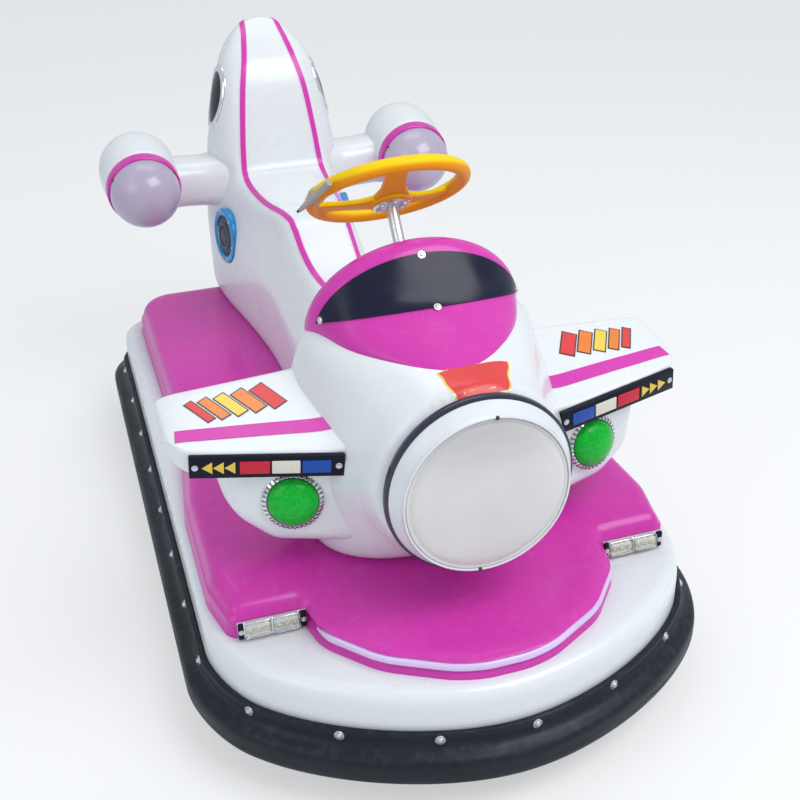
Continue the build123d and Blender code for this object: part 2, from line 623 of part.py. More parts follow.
# ==== build =======================================================================================
def build():
    tail = tail_skin()
    body = fuselage_skin()
    glass = windscreen()
    node("bumper_ring", bumper())
    node("lower_hull", hull())
    node("deck", deck())
    node("light_strip", light_strip())
    node("fuselage", body - tail - column_way())
    node("cowl", cowl(body, glass))
    node("windscreen", glass)
    nose_lamp()
    wings(body)
    pair("corner_strobe", strobe())
    upper = side_disc(TAIL_LAMP, tail)
    lower = side_disc(TAIL_SPEAKER, tail)
    node("tail", tail - upper - mirror(upper, about=Plane.YZ) - lower - mirror(lower, about=Plane.YZ))
    pair("tail_lamp", upper)
    pair("tail_speaker", lower)
    pair("pod", pod(tail))
    pair("pod_dome", bulb(POD, POD_DOME_R, 0, -POD_DOME_R))
    steering()
    drive_unit()
    rear_wheels()
    node("chassis_frame", chassis())
    node("battery", battery())


build()
os.makedirs("parts", exist_ok=True)
for name, shape in NODES.items():
    export_step(shape, f"parts/{name}.step")
    print(name)
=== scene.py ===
from collections import Counter
from math import atan2, copysign, cos, pi, radians, sin, tan

import bmesh
import bpy
from mathutils import Matrix, Vector
from mathutils.bvhtree import BVHTree


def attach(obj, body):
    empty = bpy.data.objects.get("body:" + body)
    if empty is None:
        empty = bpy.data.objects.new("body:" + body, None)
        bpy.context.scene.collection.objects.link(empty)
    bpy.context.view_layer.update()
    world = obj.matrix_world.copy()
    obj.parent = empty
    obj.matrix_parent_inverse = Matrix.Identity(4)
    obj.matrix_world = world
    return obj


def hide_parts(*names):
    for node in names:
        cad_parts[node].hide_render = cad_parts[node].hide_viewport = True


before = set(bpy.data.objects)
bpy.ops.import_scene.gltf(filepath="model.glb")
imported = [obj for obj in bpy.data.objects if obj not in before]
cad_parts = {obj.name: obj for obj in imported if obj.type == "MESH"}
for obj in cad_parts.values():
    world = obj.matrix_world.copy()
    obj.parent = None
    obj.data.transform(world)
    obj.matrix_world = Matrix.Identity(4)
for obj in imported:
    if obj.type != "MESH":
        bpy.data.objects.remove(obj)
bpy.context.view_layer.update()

MM = 0.001
UP = Vector((0, 0, 1))
SIDES = (("left", 1), ("right", -1))    # the rider's left is +X


# ==== view, light and floor =======================================================================
CAMERA_PLACE = (-0.7165, -2.4793, 1.8022)
CAMERA_AHEAD = (0.26845, 0.83115, -0.48698)
CAMERA_ROLL = -1.216
FOCAL_LENGTH, SENSOR_WIDTH = 56.11, 36.0
WHITE = (1, 1, 1, 1)
SKY_COLOUR = (0.57, 0.62, 0.67, 1)
FLOOR_COLOUR, FLOOR_GLOW, FLOOR_SIZE = (0.86, 0.86, 0.87, 1), 0.5, 40
# place, target, size, power
LAMPS = {"key": ((1.7, -2.3, 3.9), (0, -0.1, 0.5), (3.0, 2.4), 104),
         "fill": ((-3.4, -1.8, 2.6), (0, 0, 0.5), (2.4, 2.4), 22),
         "back": ((0.3, 1.7, 4.2), (0, 0.3, 0.6), (2.6, 1.6), 20)}


def new_object(name, data):
    made = bpy.data.objects.new(name, data)
    bpy.context.scene.collection.objects.link(made)
    return made


def aimed(place, direction):
    """The placing of something that looks along its own -Z."""
    turn = Vector(direction).to_track_quat("-Z", "Y").to_matrix().to_4x4()
    return Matrix.Translation(place) @ turn


def add_camera():
    data = bpy.data.cameras.new("view")
    data.sensor_width = SENSOR_WIDTH
    data.lens = FOCAL_LENGTH
    data.clip_start = 0.05
    camera = new_object("view", data)
    camera.matrix_world = aimed(CAMERA_PLACE, CAMERA_AHEAD) @ spun(CAMERA_ROLL)
    bpy.context.scene.camera = camera


def add_lamps():
    for name, (place, target, size, power) in LAMPS.items():
        data = bpy.data.lights.new(name, "AREA")
        data.shape = "RECTANGLE"
        data.size, data.size_y = size
        data.energy = power
        new_object(name, data).matrix_world = aimed(place, Vector(target) - Vector(place))


def node(tree, kind, sockets=(), **values):
    """A new node. Each socket takes a number, a colour or another node's output."""
    made = tree.nodes.new(kind)
    for key, value in values.items():
        setattr(made, key, value)
    for socket, value in dict(sockets).items():
        if isinstance(value, bpy.types.NodeSocket):
            tree.links.new(value, made.inputs[socket])
        else:
            made.inputs[socket].default_value = value
    return made


def seen_directly(tree):
    """1 for what the camera sees, also through clear covers, 0 for the light that falls on things."""
    path = node(tree, "ShaderNodeLightPath").outputs
    rays = {0: path["Is Camera Ray"], 1: path["Is Transmission Ray"]}
    return node(tree, "ShaderNodeMath", rays, operation="MAXIMUM").outputs[0]


def add_sky():
    world = bpy.data.worlds.new("studio")
    world.use_nodes = True
    tree = world.node_tree
    sky = node(tree, "ShaderNodeMix", {0: seen_directly(tree), 6: SKY_COLOUR, 7: WHITE}, data_type="RGBA")
    tree.links.new(sky.outputs[2], tree.nodes["Background"].inputs["Color"])
    bpy.context.scene.world = world


def add_floor():
    """Pale paper that takes the shadow; half of what the camera sees of it is plain white."""
    paper = bpy.data.materials.new("pale_floor")
    paper.use_nodes = True
    tree = paper.node_tree
    tree.nodes.remove(tree.nodes["Principled BSDF"])
    matt = node(tree, "ShaderNodeBsdfDiffuse", {"Color": FLOOR_COLOUR}).outputs[0]
    bright = node(tree, "ShaderNodeEmission").outputs[0]
    share = node(tree, "ShaderNodeMath", {0: seen_directly(tree), 1: FLOOR_GLOW}, operation="MULTIPLY").outputs[0]
    blend = node(tree, "ShaderNodeMixShader", {0: share, 1: matt, 2: bright}).outputs[0]
    tree.links.new(blend, tree.nodes["Material Output"].inputs["Surface"])
    bm = bmesh.new()
    bmesh.ops.create_grid(bm, x_segments=1, y_segments=1, size=FLOOR_SIZE)
    mesh = bpy.data.meshes.new("floor")
    bm.to_mesh(mesh)
    bm.free()
    mesh.materials.append(paper)
    new_object("floor", mesh)


# ==== finishes ====================================================================================
def tint(colour):
    """A paint-card colour, three numbers up to 255, made linear for a shader; four are linear already."""
    if len(colour) == 4:
        return colour
    steps = [value / 255 for value in colour]
    return tuple(s / 12.92 if s <= 0.04045 else ((s + 0.055) / 1.055) ** 2.4 for s in steps) + (1.0,)


def darker(colour, share):
    return tuple(c * share for c in tint(colour)[:3]) + (1,)


class Finish:
    """A procedural material: one Principled shader and the patterns that feed it."""

    def __init__(self, colour, roughness, **sockets):
        self.material = bpy.data.materials.new("finish")
        self.material.use_nodes = True
        self.tree = self.material.node_tree
        self.shader = self.tree.nodes["Principled BSDF"]
        self.base = tint(colour)
        self.normal = None
        values = {"Base_Color": self.base, "Roughness": roughness, "Coat_Roughness": 0.04, **sockets}
        for socket, value in values.items():
            self.shader.inputs[socket.replace("_", " ")].default_value = value
        self.where = self.node("ShaderNodeTexCoord").outputs["Object"]

    def node(self, kind, sockets=(), **values):
        return node(self.tree, kind, sockets, **values)

    def feed(self, socket, value):
        self.tree.links.new(value, self.shader.inputs[socket])

    def cloud(self, scale, detail=3.0, stretch=None):
        where = self.where
        if stretch:
            where = self.node("ShaderNodeMapping", {"Scale": stretch, "Vector": where}).outputs["Vector"]
        return self.node("ShaderNodeTexNoise", {"Scale": scale, "Detail": detail, "Vector": where}).outputs["Fac"]

    def cells(self, scale):
        return self.node("ShaderNodeTexVoronoi", {"Scale": scale, "Vector": self.where}).outputs["Distance"]

    def between(self, value, low, high, out_low=0.0, out_high=1.0):
        ends = {"From Min": low, "From Max": high, "To Min": out_low, "To Max": out_high, "Value": value}
        return self.node("ShaderNodeMapRange", ends).outputs["Result"]

    def clouded(self, scale, detail, low, high, most, stretch=None):
        """Soft patches, from 0 to most."""
        return self.between(self.cloud(scale, detail, stretch), low, high, 0.0, most)

    def rise(self, vector):
        return self.node("ShaderNodeSeparateXYZ", {0: vector}).outputs["Z"]

    def upward(self):
        """1 where the surface looks up, 0 where it is upright or looks down."""
        return self.between(self.rise(self.node("ShaderNodeNewGeometry").outputs["Normal"]), 0.1, 0.95)

    def times(self, first, second):
        return self.node("ShaderNodeMath", {0: first, 1: second}, operation="MULTIPLY").outputs[0]

    def shade(self, amount, colour):
        """Lays another colour over what is there, as far as amount says."""
        layers = {0: amount, 6: self.base, 7: tint(colour)}
        self.base = self.node("ShaderNodeMix", layers, data_type="RGBA").outputs[2]
        self.feed("Base Color", self.base)

    def rough(self, value, low, high):
        self.feed("Roughness", self.between(value, 0.3, 0.7, low, high))

    def bump(self, height, strength, distance):
        sockets = {"Strength": strength, "Distance": distance, "Height": height}
        if self.normal:
            sockets["Normal"] = self.normal
        self.normal = self.node("ShaderNodeBump", sockets).outputs["Normal"]
        self.feed("Normal", self.normal)


def gel_coat(colour, shadow, dust, roughness=0.26, coat=0.25, level=0.5):
    """Sprayed and polished gel coat: faint clouding, patchy polish, dust on what looks up."""
    made = Finish(colour, roughness, Coat_Weight=coat, Specular_IOR_Level=level)
    made.shade(made.clouded(2.2, 3.0, 0.35, 0.75, 0.5), shadow)
    made.shade(made.times(made.upward(), made.clouded(40, 6.0, 0.55, 0.76, 0.08)), dust)
    made.rough(made.cloud(12, 5.0), roughness - 0.02, roughness + 0.04)
    made.bump(made.cloud(5, 1.0), 0.05, 0.004)
    made.bump(made.cloud(260, 2.0), 0.03, 0.0004)
    return made.material


def plastic(colour, roughness, grain=0.1, coat=0.0, worn=None):
    """Moulded plastic or paint: uneven colour and a fine grain."""
    made = Finish(colour, roughness, Coat_Weight=coat)
    made.shade(made.clouded(14, 5.0, 0.45, 0.8, 0.35), worn or darker(colour, 0.7))
    made.bump(made.cloud(900, 2.0), grain, 0.0004)
    return made.material


def trim(colour, worn, roughness, level):
    """Smooth dark moulding: faint smears and a fine grain."""
    made = Finish(colour, roughness, Specular_IOR_Level=level)
    smears = made.cloud(7, 5.0, (1, 1, 4))
    made.shade(made.between(smears, 0.45, 0.75, 0.0, 0.5), worn)
    made.rough(smears, roughness, roughness + 0.12)
    made.bump(made.cloud(500, 2.0), 0.04, 0.0003)
    return made.material


def grip(colour, painted_top_light, worn):
    """Moulded grip: painted light makes it paler yellow where it looks up; finely grained."""
    made = Finish(colour, 0.45, Specular_IOR_Level=0.2)
    # painted light: faces that look up are lit to a paler yellow
    made.shade(made.between(made.upward(), 0.0, 0.5), painted_top_light)
    made.shade(made.clouded(14, 5.0, 0.5, 0.8, 0.3), worn)
    made.bump(made.cloud(900, 2.0), 0.1, 0.0004)
    return made.material


def metal(colour, roughness, brushed=(1, 1, 1)):
    """Bare or plated metal, brushed along one axis if it is stretched, duller in patches."""
    made = Finish(colour, roughness, Metallic=1.0)
    fine = made.cloud(60, 4.0, brushed)
    made.rough(fine, roughness * 0.7, roughness * 1.5)
    made.shade(made.clouded(20, 5.0, 0.55, 0.8, 0.4), darker(colour, 0.55))
    made.bump(fine, 0.05, 0.0003)
    return made.material


def lens(colour, deep, roughness=0.2, pattern=420, strength=0.05, coat=0.2):
    """Moulded lamp plastic with a prism pattern behind a clear face."""
    made = Finish(colour, roughness, Coat_Weight=coat, Specular_IOR_Level=0.25)
    prisms = made.cells(pattern)
    made.shade(made.between(prisms, 0.1, 0.7, 0.0, 0.8), deep)
    made.bump(prisms, strength, 0.002)
    return made.material


def frosted(colour, cloudy, deep=None):
    """Frosted cover with faint clouds behind it; the headlight's gets painted shade in streaks towards the top."""
    made = Finish(colour, 0.26, Coat_Weight=0.4)
    made.shade(made.clouded(7, 3.0, 0.4, 0.7, 0.6), cloudy)
    if deep:
        # painted shade: deep darkens the cover towards its top, where the lamp's shadow falls
        high = made.between(made.rise(made.where), 0.60, 0.73, 0.0, 0.9)
        streaks = made.between(made.cloud(5, 2.0, (0.6, 1, 2.4)), 0.25, 0.6, 0.35, 1.0)
        made.shade(made.times(high, streaks), deep)
    made.bump(made.cloud(50, 2.0), 0.03, 0.0006)
    return made.material


def rubber(colour, dust):
    """Scuffed rubber, dusty on top."""
    made = Finish(colour, 0.5, Specular_IOR_Level=0.28)
    made.shade(made.clouded(5, 8.0, 0.45, 0.75, 0.4), dust)
    made.shade(made.times(made.upward(), made.clouded(55, 6.0, 0.45, 0.75, 0.16)), (96, 100, 110))
    scuffs = made.cloud(30, 4.0, (0.3, 0.3, 3.0))
    made.rough(scuffs, 0.34, 0.56)
    made.bump(scuffs, 0.2, 0.0012)
    made.bump(made.cloud(400, 3.0), 0.12, 0.0004)
    return made.material


def clear_plastic(colour):
    made = Finish(colour, 0.05, Transmission_Weight=0.9, IOR=1.47)
    made.bump(made.cloud(160, 1.0, (3, 1, 1)), 0.15, 0.0006)
    return made.material


FINISHES = {
    "white_shell": gel_coat((0.77, 0.79, 0.80, 1), (0.71, 0.745, 0.77, 1), (196, 190, 180)),
    "pink_shell": gel_coat((209, 58, 170), (198, 46, 156), (226, 160, 205), 0.24, 0.12, 0.32),
    "bumper_rubber": rubber((18, 23, 32), (32, 38, 50)),
    "strip_light": frosted((224, 200, 240), (206, 180, 226)),
    "smoked_screen": trim((20, 22, 46), (38, 40, 62), 0.16, 0.26),
    "black_trim": trim((10, 12, 30), (20, 22, 40), 0.32, 0.2),
    "navy_band": plastic((27, 32, 54), 0.3, coat=0.4, worn=(40, 44, 66)),
    # pearl_lens: its last colour is painted shade towards the top of the lens
    "pearl_lens": frosted((216, 213, 211), (206, 202, 200), (180, 176, 176)),
    "rim_white": plastic((222, 224, 227), 0.28, coat=0.4, worn=(208, 208, 208)),
    "dark_chrome": metal((0.30, 0.31, 0.32, 1), 0.18),
    "chrome_trim": metal((0.82, 0.82, 0.84, 1), 0.10),
    "green_lens": lens((0, 190, 52), (0, 160, 40), 0.22, 150, 0.22, 0.12),
    "clear_lens": clear_plastic((0.92, 0.94, 0.96, 1)),
    "lilac_lens": frosted((184, 174, 194), (172, 158, 182)),
    "dark_lens": trim((28, 31, 37), (40, 43, 50), 0.08, 0.4),
    "speaker_blue": lens((20, 162, 216), (14, 120, 190), 0.25, 160, 0.3, 0.4),
    "speaker_mesh": plastic((52, 66, 84), 0.45, grain=0.4, worn=(30, 38, 52)),
    # yellow_grip: its second colour is painted light on the faces that look up
    "yellow_grip": grip((236, 146, 12), (244, 206, 0), (226, 136, 12)),
    "bright_steel": metal((0.70, 0.70, 0.72, 1), 0.26, (1, 1, 8)),
    "grey_tape": plastic((172, 170, 164), 0.6, grain=0.4, worn=(108, 104, 98)),
    "frame_paint": plastic((46, 48, 52), 0.5, worn=(96, 70, 50)),
    "tyre_rubber": rubber((30, 30, 31), (58, 56, 52)),
    "wheel_metal": metal((0.56, 0.57, 0.58, 1), 0.4),
    "battery_case": plastic((38, 40, 46), 0.45, grain=0.3),
    "bar_red": lens((206, 30, 56), (186, 24, 48)),
    "bar_cream": lens((222, 220, 206), (208, 204, 190)),
    "bar_blue": lens((10, 76, 172), (6, 62, 148)),
    "bar_amber": plastic((226, 188, 60), 0.3, coat=0.4),
    "led_chip": plastic((236, 232, 206), 0.35, coat=0.5),
    "pale_line": plastic((236, 214, 232), 0.25, coat=0.4),
    "flash_red": plastic((220, 56, 54), 0.36, coat=0.2),
    "flash_orange": plastic((236, 128, 34), 0.28, coat=0.4),
    "flash_yellow": plastic((246, 206, 70), 0.28, coat=0.4),
    "flash_black": plastic((34, 26, 28), 0.28, coat=0.4),
}
for finish_name, material in FINISHES.items():
    material.name = finish_name.replace("shell", "gel_coat")


# ==== ways of making a shape ======================================================================
def outline(corners, segments):
    """Points round a closed outline of (u, v, corner radius), from the start of the first corner's arc."""
    shape = bmesh.new()
    verts = [shape.verts.new((u, v, 0.0)) for u, v, _ in corners]
    shape.faces.new(verts)
    start = None
    for i, (u, v, radius) in enumerate(corners):
        here = Vector((u, v))
        back = Vector(corners[i - 1][:2]) - here
        ahead = Vector(corners[(i + 1) % len(corners)][:2]) - here
        reach = radius / tan(back.angle(ahead) / 2)
        if start is None:
            start = here + back.normalized() * reach
            onward = here + ahead.normalized() * reach
        bmesh.ops.bevel(shape, geom=[verts[i]], offset=reach, offset_type="OFFSET", segments=segments,
                        profile=0.5, affect="VERTICES", material=-1)
    points = [loop.vert.co.xy for loop in shape.faces[:][0].loops]
    first = min(range(len(points)), key=lambda i: (points[i] - start).length)
    points = [p.copy() for p in points[first:] + points[:first]]
    if (points[segments] - onward).length > (points[-segments] - onward).length:
        points = [points[0]] + points[:0:-1]
    shape.free()
    return points


def both_halves(half):
    return list(half) + [(-u, v, r) for u, v, r in reversed(half)]


def spaced(path, count):
    """count + 1 points evenly spaced along a path."""
    steps = [0.0]
    for a, b in zip(path, path[1:]):
        steps.append(steps[-1] + (b - a).length)
    found = []
    for k in range(count + 1):
        reach = steps[-1] * k / count
        i = max(j for j in range(len(steps) - 1) if steps[j] <= reach or j == 0)
        run = steps[i + 1] - steps[i]
        share = (reach - steps[i]) / run if run else 0.0
        found.append(path[i].lerp(path[i + 1], min(share, 1.0)))
    return found


def inset(points, distance):
    """A closed outline moved inwards; points run counter-clockwise."""
    moved = []
    for i, here in enumerate(points):
        along = points[(i + 1) % len(points)] - points[i - 1]
        moved.append(here + Vector((-along.y, along.x)).normalized() * distance)
    return moved


def drawn_in(corners, distance):
    """The corners of a counter-clockwise outline moved inwards, their radii made to suit."""
    moved = []
    for i, (u, v, radius) in enumerate(corners):
        here = Vector((u, v))
        first = (here - Vector(corners[i - 1][:2])).normalized()
        second = (Vector(corners[(i + 1) % len(corners)][:2]) - here).normalized()
        inward = Vector((-first.y, first.x)), Vector((-second.y, second.x))
        here += (inward[0] + inward[1]) / (1 + inward[0].dot(inward[1])) * distance
        outer = first.x * second.y > first.y * second.x
        moved.append((here.x, here.y, max(radius - distance, 3.0) if outer else radius + distance))
    return moved


def heading(path, i):
    """Which way a path runs at its point i."""
    return (path[min(i + 1, len(path) - 1)] - path[max(i - 1, 0)]).normalized()


def at_height(points, height):
    return [Vector((p.x, p.y, height)) * MM for p in points]


def outward(bm):
    bmesh.ops.recalc_face_normals(bm, faces=bm.faces[:])


def put(bm, matrix):
    bmesh.ops.transform(bm, matrix=matrix, verts=bm.verts)
    return bm


def edges_along(bm, row, closed=True):
    """The edges that join a row of vertices, back to its start if it is closed."""
    pairs = zip(row, row[1:] + (row[:1] if closed else []))
    return [bm.edges.get(pair) or bm.edges.new(pair) for pair in pairs]


def start_row(bm, points, closed=True):
    row = [bm.verts.new(p) for p in points]
    edges_along(bm, row, closed)
    return row


def extend(bm, row, points, closed=True):
    """Extrudes a row of vertices and sets the new row on points."""
    made = bmesh.ops.extrude_edge_only(bm, edges=edges_along(bm, row, closed))["geom"]
    fresh = {item for item in made if isinstance(item, bmesh.types.BMVert)}
    twins = [next(e.other_vert(v) for e in v.link_edges if e.other_vert(v) in fresh) for v in row]
    for twin, point in zip(twins, points):
        twin.co = point
    return twins


def skin(bm, rows, caps=(True, True), join_ends=False):
    """Closed rows of points joined into a skin; returns the rings of vertices."""
    rings = [start_row(bm, rows[0])]
    for points in rows[1:]:
        rings.append(extend(bm, rings[-1], points))
    if join_ends:
        extend(bm, rings[-1], rows[0])
        bmesh.ops.remove_doubles(bm, verts=bm.verts[:], dist=1e-7)
        return rings
    for wanted, ring in zip(caps, (rings[0], rings[-1])):
        if wanted:
            bmesh.ops.contextual_create(bm, geom=ring)
    return rings


def sleeve(rows, join_ends=False):
    """A shape of its own with rows of points for its skin."""
    bm = bmesh.new()
    skin(bm, rows, join_ends=join_ends)
    outward(bm)
    return bm


def close_end(bm, ring, centre, share, push=0.0):
    """Draws the last ring in towards centre, pushes it along Y and caps it."""
    centre = Vector(centre) * MM
    last = extend(bm, ring, [centre + (v.co - centre) * share + Vector((0, push * MM, 0)) for v in ring])
    bmesh.ops.contextual_create(bm, geom=last)


def mirrored_ring(right):
    """A half ring, bottom to top, closed by its own mirror image."""
    return right + [Vector((-p.x, p.y)) for p in reversed(right[1:-1])]


def spin_round(bm, steps):
    """Spins what is in bm once round Z."""
    bmesh.ops.spin(bm, geom=bm.verts[:] + bm.edges[:], cent=(0, 0, 0), axis=(0, 0, 1), dvec=(0, 0, 0),
                   angle=2 * pi, steps=steps, use_merge=True, use_duplicate=False)
    bmesh.ops.remove_doubles(bm, verts=bm.verts[:], dist=1e-6)
    outward(bm)
    return bm


def lathe(profile, steps=64):
    """A turned shape about Z from (radius, height) points."""
    bm = bmesh.new()
    start_row(bm, [(radius * MM, 0, height * MM) for radius, height in profile], closed=False)
    return spin_round(bm, steps)


def dome(radius, foot, height, angles):
    """Points of a turned dome's profile, from its foot up to its crown."""
    turns = [radians(angle) for angle in angles]
    return [(radius * cos(t), foot + height * sin(t)) for t in turns] + [(0, foot + height)]


def round_edges(bm, edge, segments=2):
    bmesh.ops.bevel(bm, geom=bm.edges[:], offset=edge * MM, offset_type="OFFSET", segments=segments,
                    profile=0.5, affect="EDGES", material=-1)


def raise_faces(bm, depth):
    """Gives flat faces a thickness along Z."""
    top = bmesh.ops.extrude_face_region(bm, geom=bm.faces[:])["geom"]
    bmesh.ops.translate(bm, vec=(0, 0, depth * MM), verts=[v for v in top if isinstance(v, bmesh.types.BMVert)])


def slab(width, height, depth, edge, segments=2):
    """A block on the XY plane, rising to depth, with rounded edges."""
    bm = bmesh.new()
    bmesh.ops.create_cube(bm, size=1.0)
    bmesh.ops.scale(bm, vec=Vector((width, height, depth)) * MM, verts=bm.verts)
    bmesh.ops.translate(bm, vec=(0, 0, depth * MM / 2), verts=bm.verts)
    round_edges(bm, edge, segments)
    return bm


def plate(points, depth, edge):
    """A flat outline given a thickness upwards from the XY plane."""
    bm = bmesh.new()
    bm.faces.new([bm.verts.new((u * MM, v * MM, 0)) for u, v in points])
    raise_faces(bm, depth)
    round_edges(bm, edge)
    outward(bm)
    return bm


def hexagon(radius, depth):
    bm = bmesh.new()
    bmesh.ops.create_circle(bm, segments=6, radius=radius * MM, cap_ends=True)
    raise_faces(bm, depth)
    outward(bm)
    return bm


def screw(radius, washer=0.0):
    """A pan head, on a washer if it has one."""
    profile = [(0, 2.2), (radius * 0.55, 2.1), (radius * 0.85, 1.5), (radius, 0.4), (radius, 0.1)]
    profile += [(washer, 0.0), (washer, -1.0)] if washer else [(radius, -1.5)]
    return lathe([(r, h * radius / 4) for r, h in profile], 16)


def spun(angle, axis="Z"):
    return Matrix.Rotation(radians(angle), 4, axis)


def at(x, y=0.0, z=0.0):
    return Matrix.Translation(Vector((x, y, z)) * MM)


def facing(place, direction, roll=0.0):
    """The placing that turns +Z towards direction, Y staying as upright as it can."""
    turn = Vector(direction).to_track_quat("Z", "Y").to_matrix().to_4x4()
    return at(*place) @ turn @ spun(roll)


def add(bm, other, matrix=None, finish=0):
    """Moves another shape into bm, placed by matrix, on that finish; the other is used up."""
    if matrix:
        put(other, matrix)
    for face in other.faces:
        face.material_index = finish
    mesh = bpy.data.meshes.new("passing")
    other.to_mesh(mesh)
    other.free()
    bm.from_mesh(mesh)
    bpy.data.meshes.remove(mesh)


def turned_over(bm):
    bmesh.ops.reverse_faces(bm, faces=bm.faces[:])


def mirrored(bm, sign):
    if sign < 0:
        bmesh.ops.scale(bm, vec=(-1, 1, 1), verts=bm.verts)
        turned_over(bm)
    return bm


def piece(name, bm, finishes, body="chassis", stands_for=None, levels=0, wall=0.0, sharp=32, laid=False):
    """Finishes a shape off as one piece; a piece with the name of a CAD node stands for that node."""
    if not laid:
        outward(bm)
    mesh = bpy.data.meshes.new(name)
    bm.to_mesh(mesh)
    bm.free()
    mesh.polygons.foreach_set("use_smooth", [True] * len(mesh.polygons))
    if not levels:
        mesh.set_sharp_from_angle(angle=radians(sharp))
    names = [finishes] if isinstance(finishes, str) else finishes
    for finish in names:
        mesh.materials.append(FINISHES[finish])
    thing = new_object(name, mesh)
    if wall:
        faces_on = Counter(key for face in mesh.polygons for key in face.edge_keys)
        for line in mesh.edges:
            line.use_edge_sharp = line.use_edge_sharp or faces_on[line.key] == 1
        made = thing.modifiers.new("wall", "SOLIDIFY")
        made.thickness = abs(wall) * MM
        made.offset = copysign(1.0, wall)
    if levels:
        made = thing.modifiers.new("smooth", "SUBSURF")
        made.levels = made.render_levels = levels
    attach(thing, body)
    if stands_for is None:
        stands_for = [name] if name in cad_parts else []
    if stands_for:
        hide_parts(*stands_for)
    return thing


def surface(thing):
    bpy.context.view_layer.update()
    return BVHTree.FromObject(thing, bpy.context.evaluated_depsgraph_get())


ABOVE_ALL, BESIDE_ALL = 1500, 500       # where lines cast down or inwards at the car start


def straight_down(tree, x, y):
    """Where a line from above meets the surface, with its normal there."""
    return tree.ray_cast(Vector((x, y, ABOVE_ALL)) * MM, -UP)[:2]


def curve_through(points, steps=6):
    """Points on a smooth line through the given points (millimetres)."""
    found = []
    knots = [Vector(p) for p in points]
    for i, (a, b) in enumerate(zip(knots, knots[1:])):
        before = knots[i - 1] if i else a
        after = knots[i + 2] if i + 2 < len(knots) else b
        for k in range(steps):
            t = k / steps
            found.append(0.5 * (2 * a + (b - before) * t + (2 * before - 5 * a + 4 * b - after) * t ** 2
                                + (3 * a - before - 3 * b + after) * t ** 3))
    found.append(knots[-1])
    return found


LAID_WALL = 0.6


def lay(name, rows, finish, up):
    """Open rows of points made a thin sheet that faces along up."""
    bm = bmesh.new()
    row = start_row(bm, rows[0], closed=False)
    for points in rows[1:]:
        row = extend(bm, row, points, closed=False)
    outward(bm)
    bm.normal_update()
    if next(iter(bm.faces)).normal.dot(up) < 0:
        turned_over(bm)
    piece(name, bm, finish, wall=LAID_WALL, laid=True)


def painted_line(name, path, width, finish, tree, height):
    """A thin band laid on the surface in tree along a path (millimetres)."""
    rows, ups = [], []
    for i, here in enumerate(path):
        spot, normal, _, _ = tree.find_nearest(here * MM)
        across = heading(path, i).cross(normal).normalized() * width * MM / 2
        found = [tree.find_nearest(spot + across * share)[:2] for share in (-1.0, 0.0, 1.0)]
        rows.append([point + up * height * MM for point, up in found])
        ups.append(found[0][1])
    lay(name, rows, finish, ups[0])


# ==== bumper, hull and deck =======================================================================
FRONT_Y, REAR_Y, LEDGE_Y = -955.0, 955.0, -615.0
PLAN = outline(both_halves([(282.7, FRONT_Y, 615), (552.7, -649, 315), (516, REAR_Y, 150)]), 14)
DECK = both_halves([
    (74, -877, 190), (220, -794, 150), (305, -691, 100), (319, LEDGE_Y, 12), (464, LEDGE_Y, 34), (487, -495, 160),
    (478, -195, 300), (438, 85, 400), (426, 897, 100)])
# inset, height: from the inner top edge round the outside to the inner bottom edge
BUMPER_PROFILE = [
    (46, 166), (44, 169), (41, 170), (36, 170), (33, 169), (32, 166), (31.5, 158), (31.5, 150), (30, 145),
    (25, 139), (17, 134), (9, 130), (3, 125), (0, 117), (0, 106), (0, 92), (1, 82), (5, 74), (11, 70),
    (40, 70), (45, 71), (46, 76)]
HULL_PROFILE = [(46, 98), (46, 150), (46, 218), (46.5, 230), (49, 239), (54, 246), (61, 250.5), (72, 252), (86, 252)]
DECK_PROFILE = [
    (0, 248), (0.5, 254), (2.5, 262), (4, 267), (4, 269.5), (4, 287), (4.5, 289.5), (7.5, 293), (10.5, 300),
    (14, 310), (17.5, 317), (22.5, 323), (29, 327.5), (38, 329.6), (54, 330)]
FLANGE_INSET, BOLT_COUNT, BOLT_START, BOLT_Z = 31.5, 28, 40, 157.5
BOLT_HEAD = [(0, 6.4), (2.8, 6.0), (5.0, 4.6), (6.4, 2.4), (6.6, 1.6), (9.6, 1.4), (10, 0.6), (10, -1)]
MOULDING_WALL = -5.0        # laid inwards
DECK_TOP, SHOULDER_Z, HULL_TOP = 330.0, 291.0, 252
DECK_SEGMENTS, HIDDEN_INSET = 10, 46
GROOVE_LOW, GROOVE_HIGH, GROOVE_DEPTH, STRIP_INSET = 269, 288, 5, 5.5
LOBE_HALF_WIDTH, LOBE_REAR_Y = 330, -630
# where the lid is cut up to follow deck_height: along the car, then across it
LID_FRONT = range(-876, -451, 12)
LID_ACROSS = range(-480, 481, 20)
LID_REAR_Y = -420
STRIP_STEPS, STRIP_Z = 60, 278.2
STRIP_SECTION = [
    (-3.5, -8.4), (0.6, -8.4), (4.0, -6.6), (5.6, -3.2), (5.6, 3.2), (4.0, 6.6), (0.6, 8.4), (-3.5, 8.4)]


def level(points, distance, height):
    return at_height(inset(points, distance), height)


def deck_ring(distance):
    return outline(drawn_in(DECK, distance), DECK_SEGMENTS)


def spot_round(points, distance):
    """Point and outward normal at a distance round an outline from the middle of its front."""
    middle = (points[0] + points[-1]) / 2
    closed = [middle, *points, middle]
    for a, b in zip(closed, closed[1:]):
        run = (b - a).length
        if distance <= run:
            step = (b - a).normalized()
            return a + step * distance, Vector((step.y, -step.x))
        distance -= run
    return middle, Vector((0, -1))


def length_round(points):
    return sum((b - a).length for a, b in zip(points, points[1:] + points[:1]))


